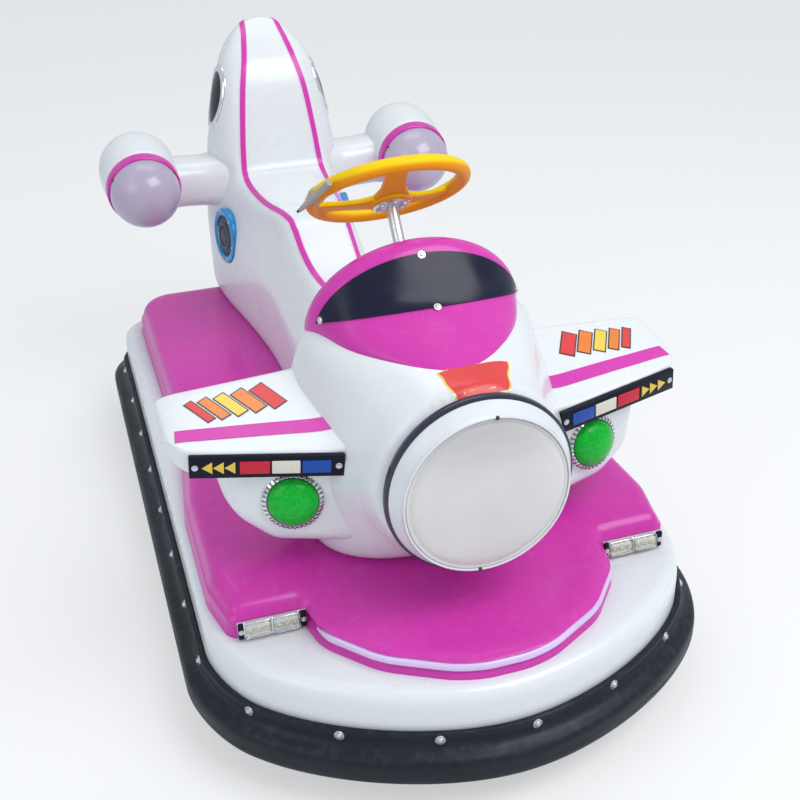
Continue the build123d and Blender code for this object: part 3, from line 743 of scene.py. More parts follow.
def build_bumper():
    ring = sleeve([level(PLAN, d, z) for d, z in BUMPER_PROFILE], join_ends=True)
    piece("bumper_ring", ring, "bumper_rubber", levels=1)
    flange = inset(PLAN, FLANGE_INSET)
    spacing = length_round(flange) / BOLT_COUNT
    bolts = bmesh.new()
    for k in range(BOLT_COUNT):
        point, normal = spot_round(flange, spacing * k + BOLT_START)
        add(bolts, lathe(BOLT_HEAD, 16), facing((point.x, point.y, BOLT_Z), (normal.x, normal.y, 0)))
    piece("bumper_bolts", bolts, "wheel_metal")


def build_hull():
    bm = bmesh.new()
    rings = skin(bm, [level(PLAN, d, z) for d, z in HULL_PROFILE], caps=(False, False))
    hidden = start_row(bm, at_height(deck_ring(HIDDEN_INSET), HULL_TOP))
    bmesh.ops.bridge_loops(bm, edges=edges_along(bm, rings[-1]) + edges_along(bm, hidden))
    piece("lower_hull", bm, "white_shell", wall=MOULDING_WALL, sharp=40)


def eased(value, start, end):
    """0 before start, 1 past end, with a soft turn at both."""
    share = min(1.0, max(0.0, (value - start) / (end - start)))
    return share * share * (3 - 2 * share)


def deck_height(x, y):
    """The deck is flat, dips to its ledges and lies lower on the lobe between them."""
    ledge = 14.0 * eased(-y, 470.0, 640.0)
    lobe = 15.0 * eased(-y, 540.0, 690.0) * eased(-abs(x), -366.0, -296.0)
    tip = 5.0 * eased(-y, 690.0, 880.0)
    return DECK_TOP - ledge - lobe - tip


def on_lobe(point):
    return abs(point.x) < 326 and point.y < -618


def cut_lid(bm):
    """Cuts the front of the deck into a mesh fine enough to follow deck_height."""
    lid = max(bm.faces, key=lambda face: face.calc_area())
    bmesh.ops.triangulate(bm, faces=[lid], quad_method="BEAUTY", ngon_method="BEAUTY")
    cuts = [((0, y, 0), (0, 1, 0)) for y in LID_FRONT] + [((x, 0, 0), (1, 0, 0)) for x in LID_ACROSS]
    for place, out in cuts:
        near = [f for f in bm.faces if f.calc_center_median().y < LID_REAR_Y * MM]
        geom = list({v for f in near for v in f.verts}) + list({e for f in near for e in f.edges}) + near
        bmesh.ops.bisect_plane(bm, geom=geom, plane_co=Vector(place) * MM, plane_no=out, dist=1e-6)


def build_deck():
    rows = []
    for d, z in DECK_PROFILE:
        ring = deck_ring(d)
        if GROOVE_LOW <= z <= GROOVE_HIGH:
            ring = [b if on_lobe(a) else a for a, b in zip(ring, deck_ring(d + GROOVE_DEPTH))]
        rows.append(at_height(ring, z))
    bm = bmesh.new()
    skin(bm, rows, caps=(False, True))
    cut_lid(bm)
    for vert in bm.verts:
        above = vert.co.z / MM - SHOULDER_Z
        if above > 0:
            drop = (deck_height(vert.co.x / MM, vert.co.y / MM) - SHOULDER_Z) / (DECK_TOP - SHOULDER_Z)
            vert.co.z = (SHOULDER_Z + above * drop) * MM
    piece("deck", bm, "pink_shell", wall=MOULDING_WALL, sharp=60)


def build_light_strip():
    """A soft round-faced tube in the groove of the lobe's edge, tapering out before the strobes."""
    ring = deck_ring(STRIP_INSET)
    half = len(ring) // 2
    front = [p for p in ring[half:] + ring[:half] if abs(p.x) < LOBE_HALF_WIDTH and p.y < LOBE_REAR_Y]
    path = spaced(front, STRIP_STEPS)
    rows = []
    for i, here in enumerate(path):
        step = heading(path, i)
        thin = min(1.0, 0.3 + 0.25 * min(i, STRIP_STEPS - i))
        rows.append([Vector((here.x + step.y * u * thin, here.y - step.x * u * thin, STRIP_Z + v * thin)) * MM
                     for u, v in STRIP_SECTION])
    piece("light_strip", sleeve(rows), "strip_light", sharp=60)


# ==== body ========================================================================================
# y, low z, half width, middle z, half width, top z, half width, corner radii: nose to back wall
BODY = [
    (-710, 389, 103.9, 569, 207.8, 749, 103.9, 177, 177, 177),
    (-666, 378, 109, 566, 224, 753, 110, 170, 166, 168),
    (-620, 362, 120, 562, 237, 757, 118, 160, 152, 150),
    (-578, 326, 172, 555, 250, 763, 138, 60, 150, 130),
    (-520, 322, 243, 545, 270, 767, 166, 24, 140, 100),
    (-440, 320, 258, 550, 284, 767, 206, 20, 120, 60),
    (-400, 320, 252, 554, 286, 767, 221, 20, 110, 46),
    (-360, 320, 246, 558, 286, 766, 226, 20, 104, 42),
    (-320, 320, 236, 556, 280, 758, 217, 20, 98, 44),
    (-285, 320, 226, 552, 264, 738, 190, 20, 90, 52),
    (-250, 320, 214, 545, 244, 712, 160, 20, 84, 52),
    (-200, 320, 198, 528, 212, 677, 132, 20, 80, 50),
    (-130, 320, 180, 504, 182, 636, 103, 20, 76, 44),
    (-60, 320, 166, 490, 162, 610, 84, 20, 70, 38),
    (30, 320, 154, 484, 147, 597, 73, 20, 64, 32),
    (120, 320, 148, 480, 140, 601, 71, 20, 60, 30),
    (210, 320, 146, 488, 136, 622, 71, 20, 60, 30),
    (285, 320, 145, 500, 134, 652, 74, 20, 60, 30),
    (330, 320, 145, 512, 135, 678, 77, 20, 60, 28),
    (372, 320, 146, 520, 137, 701, 84, 20, 60, 28),
    (440, 320, 150, 520, 142, 700, 92, 20, 60, 30),
    (520, 320, 158, 524, 149, 692, 102, 20, 64, 30),
    (600, 320, 168, 530, 158, 687, 112, 20, 68, 30),
    (668, 320, 178, 534, 168, 688, 121, 20, 70, 28),
    (730, 320, 186, 538, 180, 697, 129, 20, 70, 24),
    (790, 320, 191, 540, 190, 700, 158, 20, 70, 24),
    (846, 320, 194, 540, 194, 700, 180, 20, 70, 24),
    (902, 320, 190, 540, 193, 700, 180, 20, 70, 30),
    (938, 320, 176, 540, 180, 700, 170, 20, 70, 36),
]
BACK_START, BACK_ROWS = 24, 5
# z, front y, half width, middle y, half width, rear y, half width: the backrest and fin, upwards
BACKREST = [
    (728, 742, 120, 849, 177, 942, 164),
    (760, 750, 114, 846, 172, 944, 158),
    (809, 760, 108, 846, 163, 945, 148),
    (860, 771, 102, 851, 152, 946, 138),
    (911, 783, 96, 856, 141, 946, 128),
    (950, 798, 88, 865, 130, 946, 117),
    (983, 816, 79, 874, 118, 946, 106),
    (1010, 840, 69, 888, 101, 945, 91),
    (1034, 868, 58, 902, 82, 943, 74),
    (1053, 894, 44, 916, 60, 940, 54),
    (1066, 912, 28, 925, 38, 936, 34),
    (1071, 920, 14, 927, 20, 932, 17),
]
SPREAD = (4, 6, 6, 5)       # ring points: keel to low corner, middle corner, top corner, crown
CROWN = sum(SPREAD)
TOP_CORNER = CROWN - SPREAD[-1]
HALF_ARC = 4                # steps from the start of a corner's arc to its middle
SHOULDER_OUT, SHOULDER_BACK = 0.84, 0.42        # where the backrest turns from its front to its side
BACK_ACROSS = [1.0, 0.8, 0.6, 0.4, 0.2, 0.0, -0.2, -0.4, -0.6, -0.8, -1.0]


def body_ring(row):
    y, low, half_low, middle, half_middle, top, half_top, *radii = row
    corners = both_halves(list(zip((half_low, half_middle, half_top), (low, middle, top), radii)))
    points = outline(corners, 2 * HALF_ARC)
    arc = 2 * HALF_ARC + 1
    middles = [i * arc + HALF_ARC for i in range(3)]
    starts, ends = [0, *middles], [*middles, 3 * arc - 1]
    paths = [points[start:end + 1] for start, end in zip(starts, ends)]
    paths[0].insert(0, Vector((0, low)))
    paths[-1].append(Vector((0, top)))
    right = [point for path, count in zip(paths, SPREAD) for point in spaced(path, count)[:-1]]
    return [Vector((p.x, y, p.y)) * MM for p in mirrored_ring(right + [Vector((0, top))])]


def backrest_ring(row):
    z, front, half_front, middle, half_middle, rear, half_rear = row
    corner = [Vector((half_front, front)), Vector((half_middle, middle)), Vector((half_rear, rear))]
    shoulder = Vector((half_front + (half_middle - half_front) * SHOULDER_OUT,
                       front + (middle - front) * SHOULDER_BACK))
    side = [shoulder, corner[1], corner[0] * -0.125 + corner[1] * 0.75 + corner[2] * 0.375]
    points = [Vector((half_front * a, front)) for a in BACK_ACROSS]
    points += [Vector((-p.x, p.y)) for p in side]
    points += [Vector((-half_rear * a, rear)) for a in BACK_ACROSS]
    return at_height(points + side[::-1], z)


def build_body():
    """Nose, saddle and backrest are one moulding: rings along the car, and the back drawn up out of them."""
    bm = bmesh.new()
    rings = skin(bm, [body_ring(row) for row in BODY], caps=(True, False))
    close_end(bm, rings[-1], (0, 938, 510), 0.86, push=6)
    top = [ring[TOP_CORNER:2 * CROWN - TOP_CORNER + 1] for ring in rings[BACK_START:BACK_START + BACK_ROWS]]
    lid = {v for row in top for v in row}
    faces = [f for f in bm.faces if all(v in lid for v in f.verts)]
    bmesh.ops.delete(bm, geom=faces, context="FACES_ONLY")
    bmesh.ops.delete(bm, geom=[e for e in bm.edges if not e.link_faces], context="EDGES")
    loop = top[0] + [row[-1] for row in top[1:-1]] + top[-1][::-1] + [row[0] for row in top[-2:0:-1]]
    for row in BACKREST:
        loop = extend(bm, loop, backrest_ring(row))
    bmesh.ops.contextual_create(bm, geom=loop)
    bmesh.ops.delete(bm, geom=[v for v in bm.verts if not v.link_faces], context="VERTS")
    return piece("body_shell", bm, "white_shell", stands_for=["fuselage", "tail"], levels=2)


# y, half width, crown z of the arched hood, nose to lip
COWL = [
    (-631, 8, 754), (-626, 22, 757), (-614, 44, 763), (-594, 74, 772), (-558, 110, 787), (-522, 140, 801),
    (-488, 164, 815), (-462, 181, 839), (-436, 196, 872), (-414, 208, 899), (-408, 212, 907), (-398, 217, 914),
    (-384, 220, 918), (-370, 219, 914), (-359, 214, 903), (-353, 204, 887), (-353, 188, 864)]
ARCH_POINTS, COWL_BASE_Z, COWL_SUNK = 15, 757, 1.5
SCREEN_LIFT, SCREEN_WALL = 0.6, 2.6
LIP_LEAN = 0.19             # how far the lip leans forward as it rises
# place and outward side of the two planes that bound the windscreen: the lip and its lower edge
SCREEN_CUTS = [((0, -414, 900), (0, 1, LIP_LEAN)), ((0, -412, 786), (0, -50, -118))]
SCREEN_SCREWS = [(-2, -424, 903), (4, -482, 810), (-206, -404, 789), (206, -404, 789)]


def cowl_ring(row, tree):
    """An arch standing on the moulding below; its feet run back as the lip leans."""
    y, half, crown = row
    lean = LIP_LEAN * eased(y, -500.0, -410.0)
    foot = straight_down(tree, half, y + lean * (crown - COWL_BASE_Z))[0].z / MM - COWL_SUNK
    right = [Vector((half * share, foot - 30)) for share in (0.0, 0.35, 0.65, 0.86)]
    right.append(Vector((half * 0.965, foot - 14)))
    for k in range(ARCH_POINTS + 1):
        turn = radians(90 * k / ARCH_POINTS)
        right.append(Vector((half * cos(turn), foot + (crown - foot) * sin(turn))))
    return [Vector((p.x, y + lean * (crown - max(p.y, foot)), p.y)) * MM for p in mirrored_ring(right)]


def build_cowl(tree):
    bm = bmesh.new()
    rings = skin(bm, [cowl_ring(row, tree) for row in COWL], caps=(True, False))
    close_end(bm, rings[-1], (0, -338, 780), 0.7)
    hood = piece("cowl", bm, "pink_shell", levels=2)
    over = surface(hood)
    build_windscreen(hood)
    screws = bmesh.new()
    for place in SCREEN_SCREWS:
        spot, normal, _, _ = over.find_nearest(Vector(place) * MM)
        add(screws, screw(4.6, 7.4), facing(spot / MM + normal * 3.4, normal, 20))
    piece("windscreen_screws", screws, "bright_steel")


def build_windscreen(hood):
    """The hood's own finished surface, cut to the screen's edges and lifted a little."""
    worked = bpy.data.meshes.new_from_object(hood.evaluated_get(bpy.context.evaluated_depsgraph_get()))
    glass = bmesh.new()
    glass.from_mesh(worked)
    bpy.data.meshes.remove(worked)
    for place, out in SCREEN_CUTS:
        geom = glass.verts[:] + glass.edges[:] + glass.faces[:]
        bmesh.ops.bisect_plane(glass, geom=geom, plane_co=Vector(place) * MM, plane_no=Vector(out).normalized(),
                               clear_outer=True, dist=1e-5)
    bmesh.ops.dissolve_degenerate(glass, dist=4e-4, edges=glass.edges[:])
    glass.normal_update()
    for vert in glass.verts:
        vert.co += vert.normal * SCREEN_LIFT * MM
    piece("windscreen", glass, "smoked_screen", wall=SCREEN_WALL)


# ==== nose lamp ===================================================================================
NOSE_FACE = (0, -710, 569)
NOSE_BAND = [(150, 0.5), (179.5, 0.5), (181.5, 1.5), (182.5, 3.5), (182.5, 12.5), (181.5, 14.8), (179, 16), (150, 16)]
HEADLIGHT_RIM = [
    (148, 20), (175.5, 16), (176.4, 18), (175.6, 20.5), (168.4, 32), (162.8, 43), (161.0, 48), (161.2, 50.6),
    (160.4, 52.6), (158.6, 53.6), (157.0, 53), (156.4, 51.4), (156.2, 47.6), (148, 47)]
RIM_SCREW = [(0, 2.6), (2.2, 2.4), (3.4, 1.6), (3.9, 0.4), (3.9, -2)]
HEADLIGHT_EDGE = [(156, 46), (155.6, 50.2), (154.2, 51.8), (151, 52), (149, 51), (146, 52.2)]


def build_nose():
    out = facing(NOSE_FACE, (0, -1, 0))
    piece("nose_band", put(lathe(NOSE_BAND, 96), out), "navy_band")
    rim = lathe(HEADLIGHT_RIM, 96)
    for angle in (-5, 175):
        add(rim, lathe(RIM_SCREW, 14), spun(angle) @ at(0, 158.2, 53.0), 1)
    piece("headlight_rim", put(rim, out), ["rim_white", "frame_paint"])
    face = lathe(HEADLIGHT_EDGE + dome(146, 52.2, 11, range(9, 90, 9)), 96)
    piece("headlight_lens", put(face, out), "pearl_lens")


# ==== wings and what they carry ===================================================================
# x, front low z, front top z, rear y, rear low z, rear top z; the front edge follows the light bar
WING_ROOT = (150.0, 553.0, 604.0, -354.0, 640.0, 688.0)
WING_TIP = (505.0, 574.0, 626.0, -328.0, 612.0, 652.0)
# x, how much fuller or slimmer the section is there, how far its front edge falls back
WING_STATIONS = [
    (200, 18, 0), (215, 13, 0), (229, 7, 0), (243, 2, 0), (256, 0, 0), (300, 0, 0), (350, 0, 0), (420, 0, 0),
    (472, 0, 0), (488, 0, 3), (501, -1, 10), (511, -3, 20), (518, -6, 31), (522, -10, 42), (524, -16, 53)]
BAR_INNER, BAR_OUTER = Vector((215, -588, 584)), Vector((492, -524, 600))
BAR_HEIGHT, BAR_DEPTH = 46.0, 14.0


def bar_front(x):
    share = (x - BAR_INNER.x) / (BAR_OUTER.x - BAR_INNER.x)
    return BAR_INNER.y + (BAR_OUTER.y - BAR_INNER.y) * share


def with_steps(points, arc, cuts):
    """Straight runs between the arcs of an outline, arc points each, get cuts points of their own."""
    ring = []
    for i, count in enumerate(cuts):
        corner = points[i * arc:(i + 1) * arc]
        following = points[(i + 1) * arc % len(points)]
        ring += corner + [corner[-1].lerp(following, k / (count + 1)) for k in range(1, count + 1)]
    return ring


def wing_section(x, fuller, cut):
    share = (x - WING_ROOT[0]) / (WING_TIP[0] - WING_ROOT[0])
    sizes = [a + (b - a) * share for a, b in zip(WING_ROOT, WING_TIP)]
    front_low, front_top, rear, rear_low, rear_top = sizes[1:]
    front = bar_front(x)
    rise = cut / (rear - front)
    low, top = (a + (b - a) * rise for a, b in ((front_low, rear_low), (front_top, rear_top)))
    front += cut - min(fuller, 0) * 0.4
    rear_low, rear_top = rear_low - fuller * 0.8, rear_top + fuller * 0.8
    soft = min(15, (rear_top - rear_low) * 0.42)
    corners = [(front, low - fuller, 9), (rear + fuller, rear_low, soft),
               (rear + fuller, rear_top, soft), (front, top + fuller * 0.6, 9)]
    return [Vector((x, p.x, p.y)) * MM for p in with_steps(outline(corners, 4), 5, (6, 1, 6, 1))]


def build_wing(side, sign):
    bm = sleeve([wing_section(*station) for station in WING_STATIONS])
    return piece(f"wing_{side}", mirrored(bm, sign), "white_shell", levels=2)


LAMP_X, LAMP_Z, LAMP_SET_BACK = 309.0, 498.0, 16.0
SWEEP = atan2(BAR_OUTER.y - BAR_INNER.y, BAR_OUTER.x - BAR_INNER.x)
LAMP = Vector((LAMP_X, bar_front(LAMP_X) + LAMP_SET_BACK / cos(SWEEP), LAMP_Z))
FAIRING_INNER, FAIRING_TOP = 140, 600
# distance behind the lamp's face, outer half width, low z, how far the edge is rounded in, how much the corner is cut
FAIRING = [
    (0, 402, 426, 14, 0), (0.5, 406, 421, 8, 0), (6, 415, 412, 3, 0.08), (18, 424, 401, 0, 0.2),
    (45, 438, 385, 0, 0.5), (80, 449, 372, 0, 0.8), (115, 453, 366, 0, 1), (160, 441, 369, 0, 1),
    (210, 398, 391, 0, 1), (255, 338, 425, 0, 0.7), (280, 298, 470, 0, 0.35)]


def build_fairing(side, sign):
    rows = []
    for back, outer, low, drawn, cut in FAIRING:
        corners = [(FAIRING_INNER, low + drawn - 30 * max(0, 1 - back / 160), 4),
                   (outer - 64 - 78 * cut, low + drawn * 0.6, 48 + 14 * cut),
                   (outer - 10 - 20 * cut - drawn * 0.5, low + 46 + 50 * cut, 48 + 24 * cut),
                   (outer - drawn * 0.4, FAIRING_TOP, 3), (FAIRING_INNER, FAIRING_TOP, 3)]
        slant = tan(SWEEP) * max(0.0, 1.0 - back / 200)
        rows.append([Vector((p.x, LAMP.y + (p.x - LAMP_X) * slant + back, p.y)) * MM
                     for p in with_steps(outline(corners, 4), 5, (1, 1, 1, 1, 1))])
    piece(f"lamp_fairing_{side}", mirrored(sleeve(rows), sign), "white_shell", levels=2)


def bar_matrix(sign):
    inner, outer = (Vector((p.x * sign, p.y, p.z)) for p in (BAR_INNER, BAR_OUTER))
    span = (outer - inner).normalized() * sign
    ahead = span.cross(Vector((0, 0, 1))).normalized()
    turn = Matrix((span, ahead.cross(span), ahead)).transposed().to_4x4()
    return at(*(inner + outer) / 2) @ turn


BAR_FINISHES = ["black_trim", "bar_red", "bar_cream", "bar_blue", "bar_amber", "bright_steel"]
BAR_CELLS = ((0.325, 0.518), (0.53, 0.712), (0.724, 0.91))      # shares of the length, from the outer end
BAR_ARROWS = (0.119, 0.192, 0.265)


def build_light_bar(side, sign):
    """Black tray with three arrows at its outer end, then a red, a cream and a blue cell."""
    length = (BAR_OUTER - BAR_INNER).length

    def spot(share, height):
        return at((0.5 - share) * length * sign, 0, BAR_DEPTH - height)

    bm = slab(length, BAR_HEIGHT, BAR_DEPTH - 3, 3.0, 3)
    add(bm, slab(length - 2, BAR_HEIGHT - 2, 2.0, 0.8), at(0, 0, BAR_DEPTH - 4))
    for k, (start, end) in enumerate(BAR_CELLS):
        add(bm, slab((end - start) * length, 26.5, 3.4, 1.6, 3), spot((start + end) / 2, 2.4), k + 1)
    for share in BAR_ARROWS:
        arrow = plate([(10.2 * sign, 0), (-9.2 * sign, 12.5 * sign), (-9.2 * sign, -12.5 * sign)], 1.8, 0.5)
        add(bm, arrow, spot(share, 2.2), 4)
    for share in (0.04, 0.96):
        add(bm, screw(4.6, 6.0), spot(share, 1.4), 5)
    piece(f"light_bar_{side}", put(bm, bar_matrix(sign)), BAR_FINISHES)


LAMP_BEZEL = [
    (0, -6), (45, -6), (57, -6), (58.6, 0), (58.6, 3), (57.4, 5.6), (54.6, 7.6), (51, 8.8), (49.4, 8.4), (48.8, 6),
    (48.4, 2), (0, 2)]
BEZEL_TEETH = 36


def build_green_lamp(side, sign):
    """A bulging lens in a toothed bezel, toed out with the wing and leaning back a little."""
    out = facing((LAMP.x * sign, LAMP.y, LAMP.z), (sin(SWEEP) * sign, -cos(SWEEP), 0.12))
    ring = lathe(LAMP_BEZEL, 72)
    for k in range(BEZEL_TEETH):
        add(ring, slab(5.0, 9.4, 2.6, 0.8, 1), spun(k * 360 / BEZEL_TEETH) @ at(0, 54.2, 6.0) @ spun(-36, "X"), 1)
    piece(f"lamp_bezel_{side}", put(ring, out), ["dark_chrome", "chrome_trim"])
    bulb = lathe([(0, 0), (48.6, 0)] + dome(48.6, 6, 25, range(0, 90, 9)))
    piece(f"green_lamp_{side}", put(bulb, out), "green_lens")


STROBE_X, STROBE_Z, STROBE_W, STROBE_H = 382.0, 276.0, 134.0, 44.0
STROBE_CELL, CHIP_PITCH = 27.5, 15.0
CHIP_CUP = [(0, 5.0), (2.6, 4.6), (4.2, 3.2), (4.8, 0.5), (6.4, 0.4), (7.0, 2.6), (7.6, 2.6), (7.6, -1)]


def build_strobe(side, sign):
    """Two clear cells of three chips each, between black end ears, in the ledge's face."""
    base, cover = bmesh.new(), bmesh.new()
    add(base, slab(STROBE_W, STROBE_H - 6, 5.0, 1.5), None, 2)
    add(base, slab(5, STROBE_H - 12, 9.0, 1.2), at(0, 0, 2), 2)
    for end in (-1, 1):
        ear = end * (STROBE_W / 2 - 6)
        add(base, slab(11, STROBE_H - 8, 9.0, 2.5), at(ear, 0, 1))
        add(base, screw(4.2, 5.6), at(ear, 0, 11), 1)
        cell = end * STROBE_CELL
        add(base, slab(47, 28, 3.0, 1.0), at(cell, 0, 4.6), 2)
        for k in (-1, 0, 1):
            add(base, lathe(CHIP_CUP, 18), at(cell + k * CHIP_PITCH, 0, 7.4), 3)
        add(cover, slab(51, 32, 12.0, 3.4, 3), at(cell, 0, 4.4))
    out = facing((STROBE_X * sign, LEDGE_Y - 2, STROBE_Z), (0, -1, 0))
    piece(f"corner_strobe_{side}", put(base, out), ["black_trim", "bright_steel", "chrome_trim", "led_chip"])
    piece(f"strobe_cover_{side}", put(cover, out), "clear_lens")


# ==== pods and tail lamps =========================================================================
POD = Vector((377, 730, 690))
POD_AIM = (0, -cos(radians(9)), -sin(radians(9)))
POD_SHELL = [(0, -20), (86, -20), (93, -21), (97.6, -24), (99, -40), (101.4, -70), (102.6, -96)]
POD_COLLAR = [
    (0, -1), (88, -1), (90.6, 1.8), (94.8, 2.2), (96.8, 0.6), (97.6, -2), (98.8, -23), (98, -25), (93, -25.4),
    (0, -25.4)]
STRUT_Y, STRUT_Z, STRUT_POINTS = 845.0, 664.0, 28
# x, half depth and half height of the strut, from inside the body to inside the pod
STRUT = [
    (110, 94, 94), (146, 86, 82), (164, 79, 74), (178, 74.5, 69), (194, 71.5, 66), (220, 70, 64.5), (256, 70, 64.5),
    (272, 70.5, 65), (284, 72, 66), (292, 73.5, 67.5), (299, 75, 69.5), (306, 75, 70)]


def squared(value):
    """A sine or cosine drawn out towards a rounded square."""
    return copysign(abs(value) ** 0.68, value)


def build_pod(side, sign):
    out = facing((POD.x * sign, POD.y, POD.z), POD_AIM)
    turns = [radians(angle) for angle in range(0, 90, 9)]
    tail = [(103 * cos(t) ** 0.84, -116 - 104 * sin(t) ** 0.9) for t in turns]
    shell = put(lathe(POD_SHELL + tail + [(0, -220.5)], 72), out)
    rows = []
    for x, deep, tall in STRUT:
        turns = [radians(k * 360 / STRUT_POINTS) for k in range(STRUT_POINTS)]
        rise = STRUT_Z + (x - 220) / 16
        rows.append([Vector((x * sign, STRUT_Y + squared(cos(t)) * deep, rise + squared(sin(t)) * tall)) * MM
                     for t in turns])
    add(shell, sleeve(rows))
    piece(f"pod_{side}", shell, "white_shell", sharp=55)
    cap = lathe([(0, -8), (88, -8), (91.4, 0), (92, 10)] + dome(92, 10, 86, range(6, 90, 6)), 72)
    for k in range(3):
        add(cap, screw(3.4), spun(60 + k * 120) @ at(0, 92.6, 7) @ spun(-90, "X"), 1)
    piece(f"pod_dome_{side}", put(cap, out), ["lilac_lens", "frame_paint"])
    piece(f"pod_collar_{side}", put(lathe(POD_COLLAR, 72), out), "pink_shell")


TAIL_LAMP = (869.0, 882.0, 60.0, 84.0)      # y, z, half depth, half height
TAIL_SPEAKER = (724.0, 538.0)               # y, z
TAIL_LAMP_RING = [(0.78, -4), (0.80, 2.6), (0.83, 4.2), (0.88, 5.2), (0.94, 4.6), (0.985, 2.6), (1.0, 0.4), (1.0, -5)]
TAIL_LAMP_GLASS = [(0.81, -4), (0.81, 2.4), (0.66, 4.2), (0.4, 6.0), (0.16, 6.8), (0.03, 7)]
SPEAKER_RING = [(52, 2), (75, -14), (76, -2), (76, 2), (74, 5.6), (68, 7.6), (61, 6.8), (57, 4.2), (56, 1.4)]
SPEAKER_MESH = [
    (57, -2), (56.6, 1.8), (46, 3.6), (40, 3.8), (38, 6), (34, 7), (30, 6.2), (28, 4), (16, 6.4), (8, 8.4), (0, 9)]


def on_wall(tree, sign, y, z):
    """Where a line from outside meets the body's side, with the wall's normal there."""
    return tree.ray_cast(Vector((BESIDE_ALL * sign, y, z)) * MM, Vector((-sign, 0, 0)))[:2]


def let_in(tree, sign, profile, steps=72):
    """An oval shape that follows the wall: profile gives share of the radius and height off the wall."""
    y, z, deep, tall = TAIL_LAMP
    rows = []
    for share, height in profile:
        row = []
        for k in range(steps):
            turn = 2 * pi * k / steps
            spot, normal = on_wall(tree, sign, y + deep * share * cos(turn), z + tall * share * sin(turn))
            row.append(spot + (normal + Vector((sign * 2.0, 0, 0))).normalized() * height * MM)
        rows.append(row)
    return sleeve(rows)


def build_tail_lamp(side, sign, tree):
    piece(f"tail_lamp_ring_{side}", let_in(tree, sign, TAIL_LAMP_RING), "chrome_trim")
    piece(f"tail_lamp_{side}", let_in(tree, sign, TAIL_LAMP_GLASS), "dark_lens")


def build_tail_speaker(side, sign, tree):
    spot, _ = on_wall(tree, sign, *TAIL_SPEAKER)
    out = facing(spot / MM - Vector((sign * 2.0, 0, 0)), (sign, -0.16, 0.07))
    ring = lathe(SPEAKER_RING, 72)
    for k in range(6):
        add(ring, screw(3.2), spun(20 + k * 60) @ at(0, 68, 7.2), 1)
    grille = lathe(SPEAKER_MESH)
    for count, radius, height in ((20, 49, 3.0), (9, 21, 5.2)):
        for k in range(count):
            add(grille, slab(1.6, 11, 1.4, 0.4, 1), spun(k * 360 / count) @ at(0, radius, height))
    piece(f"tail_speaker_ring_{side}", put(ring, out), ["speaker_blue", "bright_steel"])
    piece(f"tail_speaker_{side}", put(grille, out), "speaker_mesh")


# ==== steering ====================================================================================
COLUMN = Vector((0, 0.602, 0.799)).normalized()
RIM_RADIUS, RIM_TUBE, HUB_DROP = 154.0, 15.6, 26.0
ACROSS = Vector((1, 0, 0))
WHEEL_FRAME = at(0, -212, 957) @ Matrix((ACROSS, COLUMN.cross(ACROSS), COLUMN)).transposed().to_4x4()
WHEEL_HUB = [
    (0, -18), (40, -18), (43, -16), (44, -12), (44, -2), (42, 1.5), (36, 4), (20, 5), (17, 4), (15, 0), (0, 0)]
HUB_PLATE = [(0, -6), (36, -6), (38, -5), (38, 0), (0, 0)]
SPOKES = ((43, 56, 263.5), (38, 50, 157), (38, 50, 25))      # width, width at the rim, angle


def build_rim():
    bm = bmesh.new()
    bmesh.ops.create_circle(bm, segments=20, radius=RIM_TUBE * MM)
    put(bm, at(RIM_RADIUS) @ Matrix.Diagonal((0.94, 1, 1, 1)) @ spun(90, "X"))
    return spin_round(bm, 96)


def build_spoke(width, tip_width):
    rows = []
    for u, half, lift, thick in ((26, width / 2 + 14, -19, 7), (58, width / 2 + 4, -16, 6.4), (100, width / 2, -9, 6),
                                 (130, width / 2 + 2, -3, 6.4), (146, tip_width / 2, -0.5, 8),
                                 (158, tip_width / 2 + 8, 0, 7)):
        corners = [(-half, -thick, 3.4), (half, -thick, 3.4), (half, thick, 3.4), (-half, thick, 3.4)]
        rows.append([Vector((u, p.x, p.y + lift)) * MM for p in outline(corners, 3)])
    return sleeve(rows)


def build_steering_wheel():
    bm = build_rim()
    add(bm, lathe(WHEEL_HUB, 48), at(0, 0, -HUB_DROP + 12))
    for width, tip_width, angle in SPOKES:
        add(bm, build_spoke(width, tip_width), spun(angle))
    piece("steering_wheel", put(bm, WHEEL_FRAME), "yellow_grip", body="steering", sharp=45)
    under = bmesh.new()
    add(under, lathe(HUB_PLATE, 40), at(0, 0, -HUB_DROP - 2))
    for k in range(6):
        add(under, hexagon(6.4, -5), spun(k * 60 + 30) @ at(27, 0, -HUB_DROP - 7.5), 1)
    piece("steering_hub_plate", put(under, WHEEL_FRAME), ["bright_steel", "wheel_metal"], body="steering")


LEVER_WAY = [
    (-147, -122, -8), (-150, -110, -9), (-158, -82, -10), (-167, -44, -11), (-173, -4, -10), (-177, 30, -8),
    (-179, 48, -6)]
LEVER_HALF = [5.6, 8.0, 8.2, 7.6, 6.0, 4.2, 2.6]
CLAMP_START, CLAMP_STEP, CLAMP_ROWS = 186, 1.2, 7


def round_ring(middle, across, radius, rise, points):
    """A ring of points about middle in the plane of across and Z (millimetres)."""
    turns = [radians(k * 360 / points) for k in range(points)]
    return [(middle + across * radius * cos(t) + UP * rise * sin(t)) * MM for t in turns]


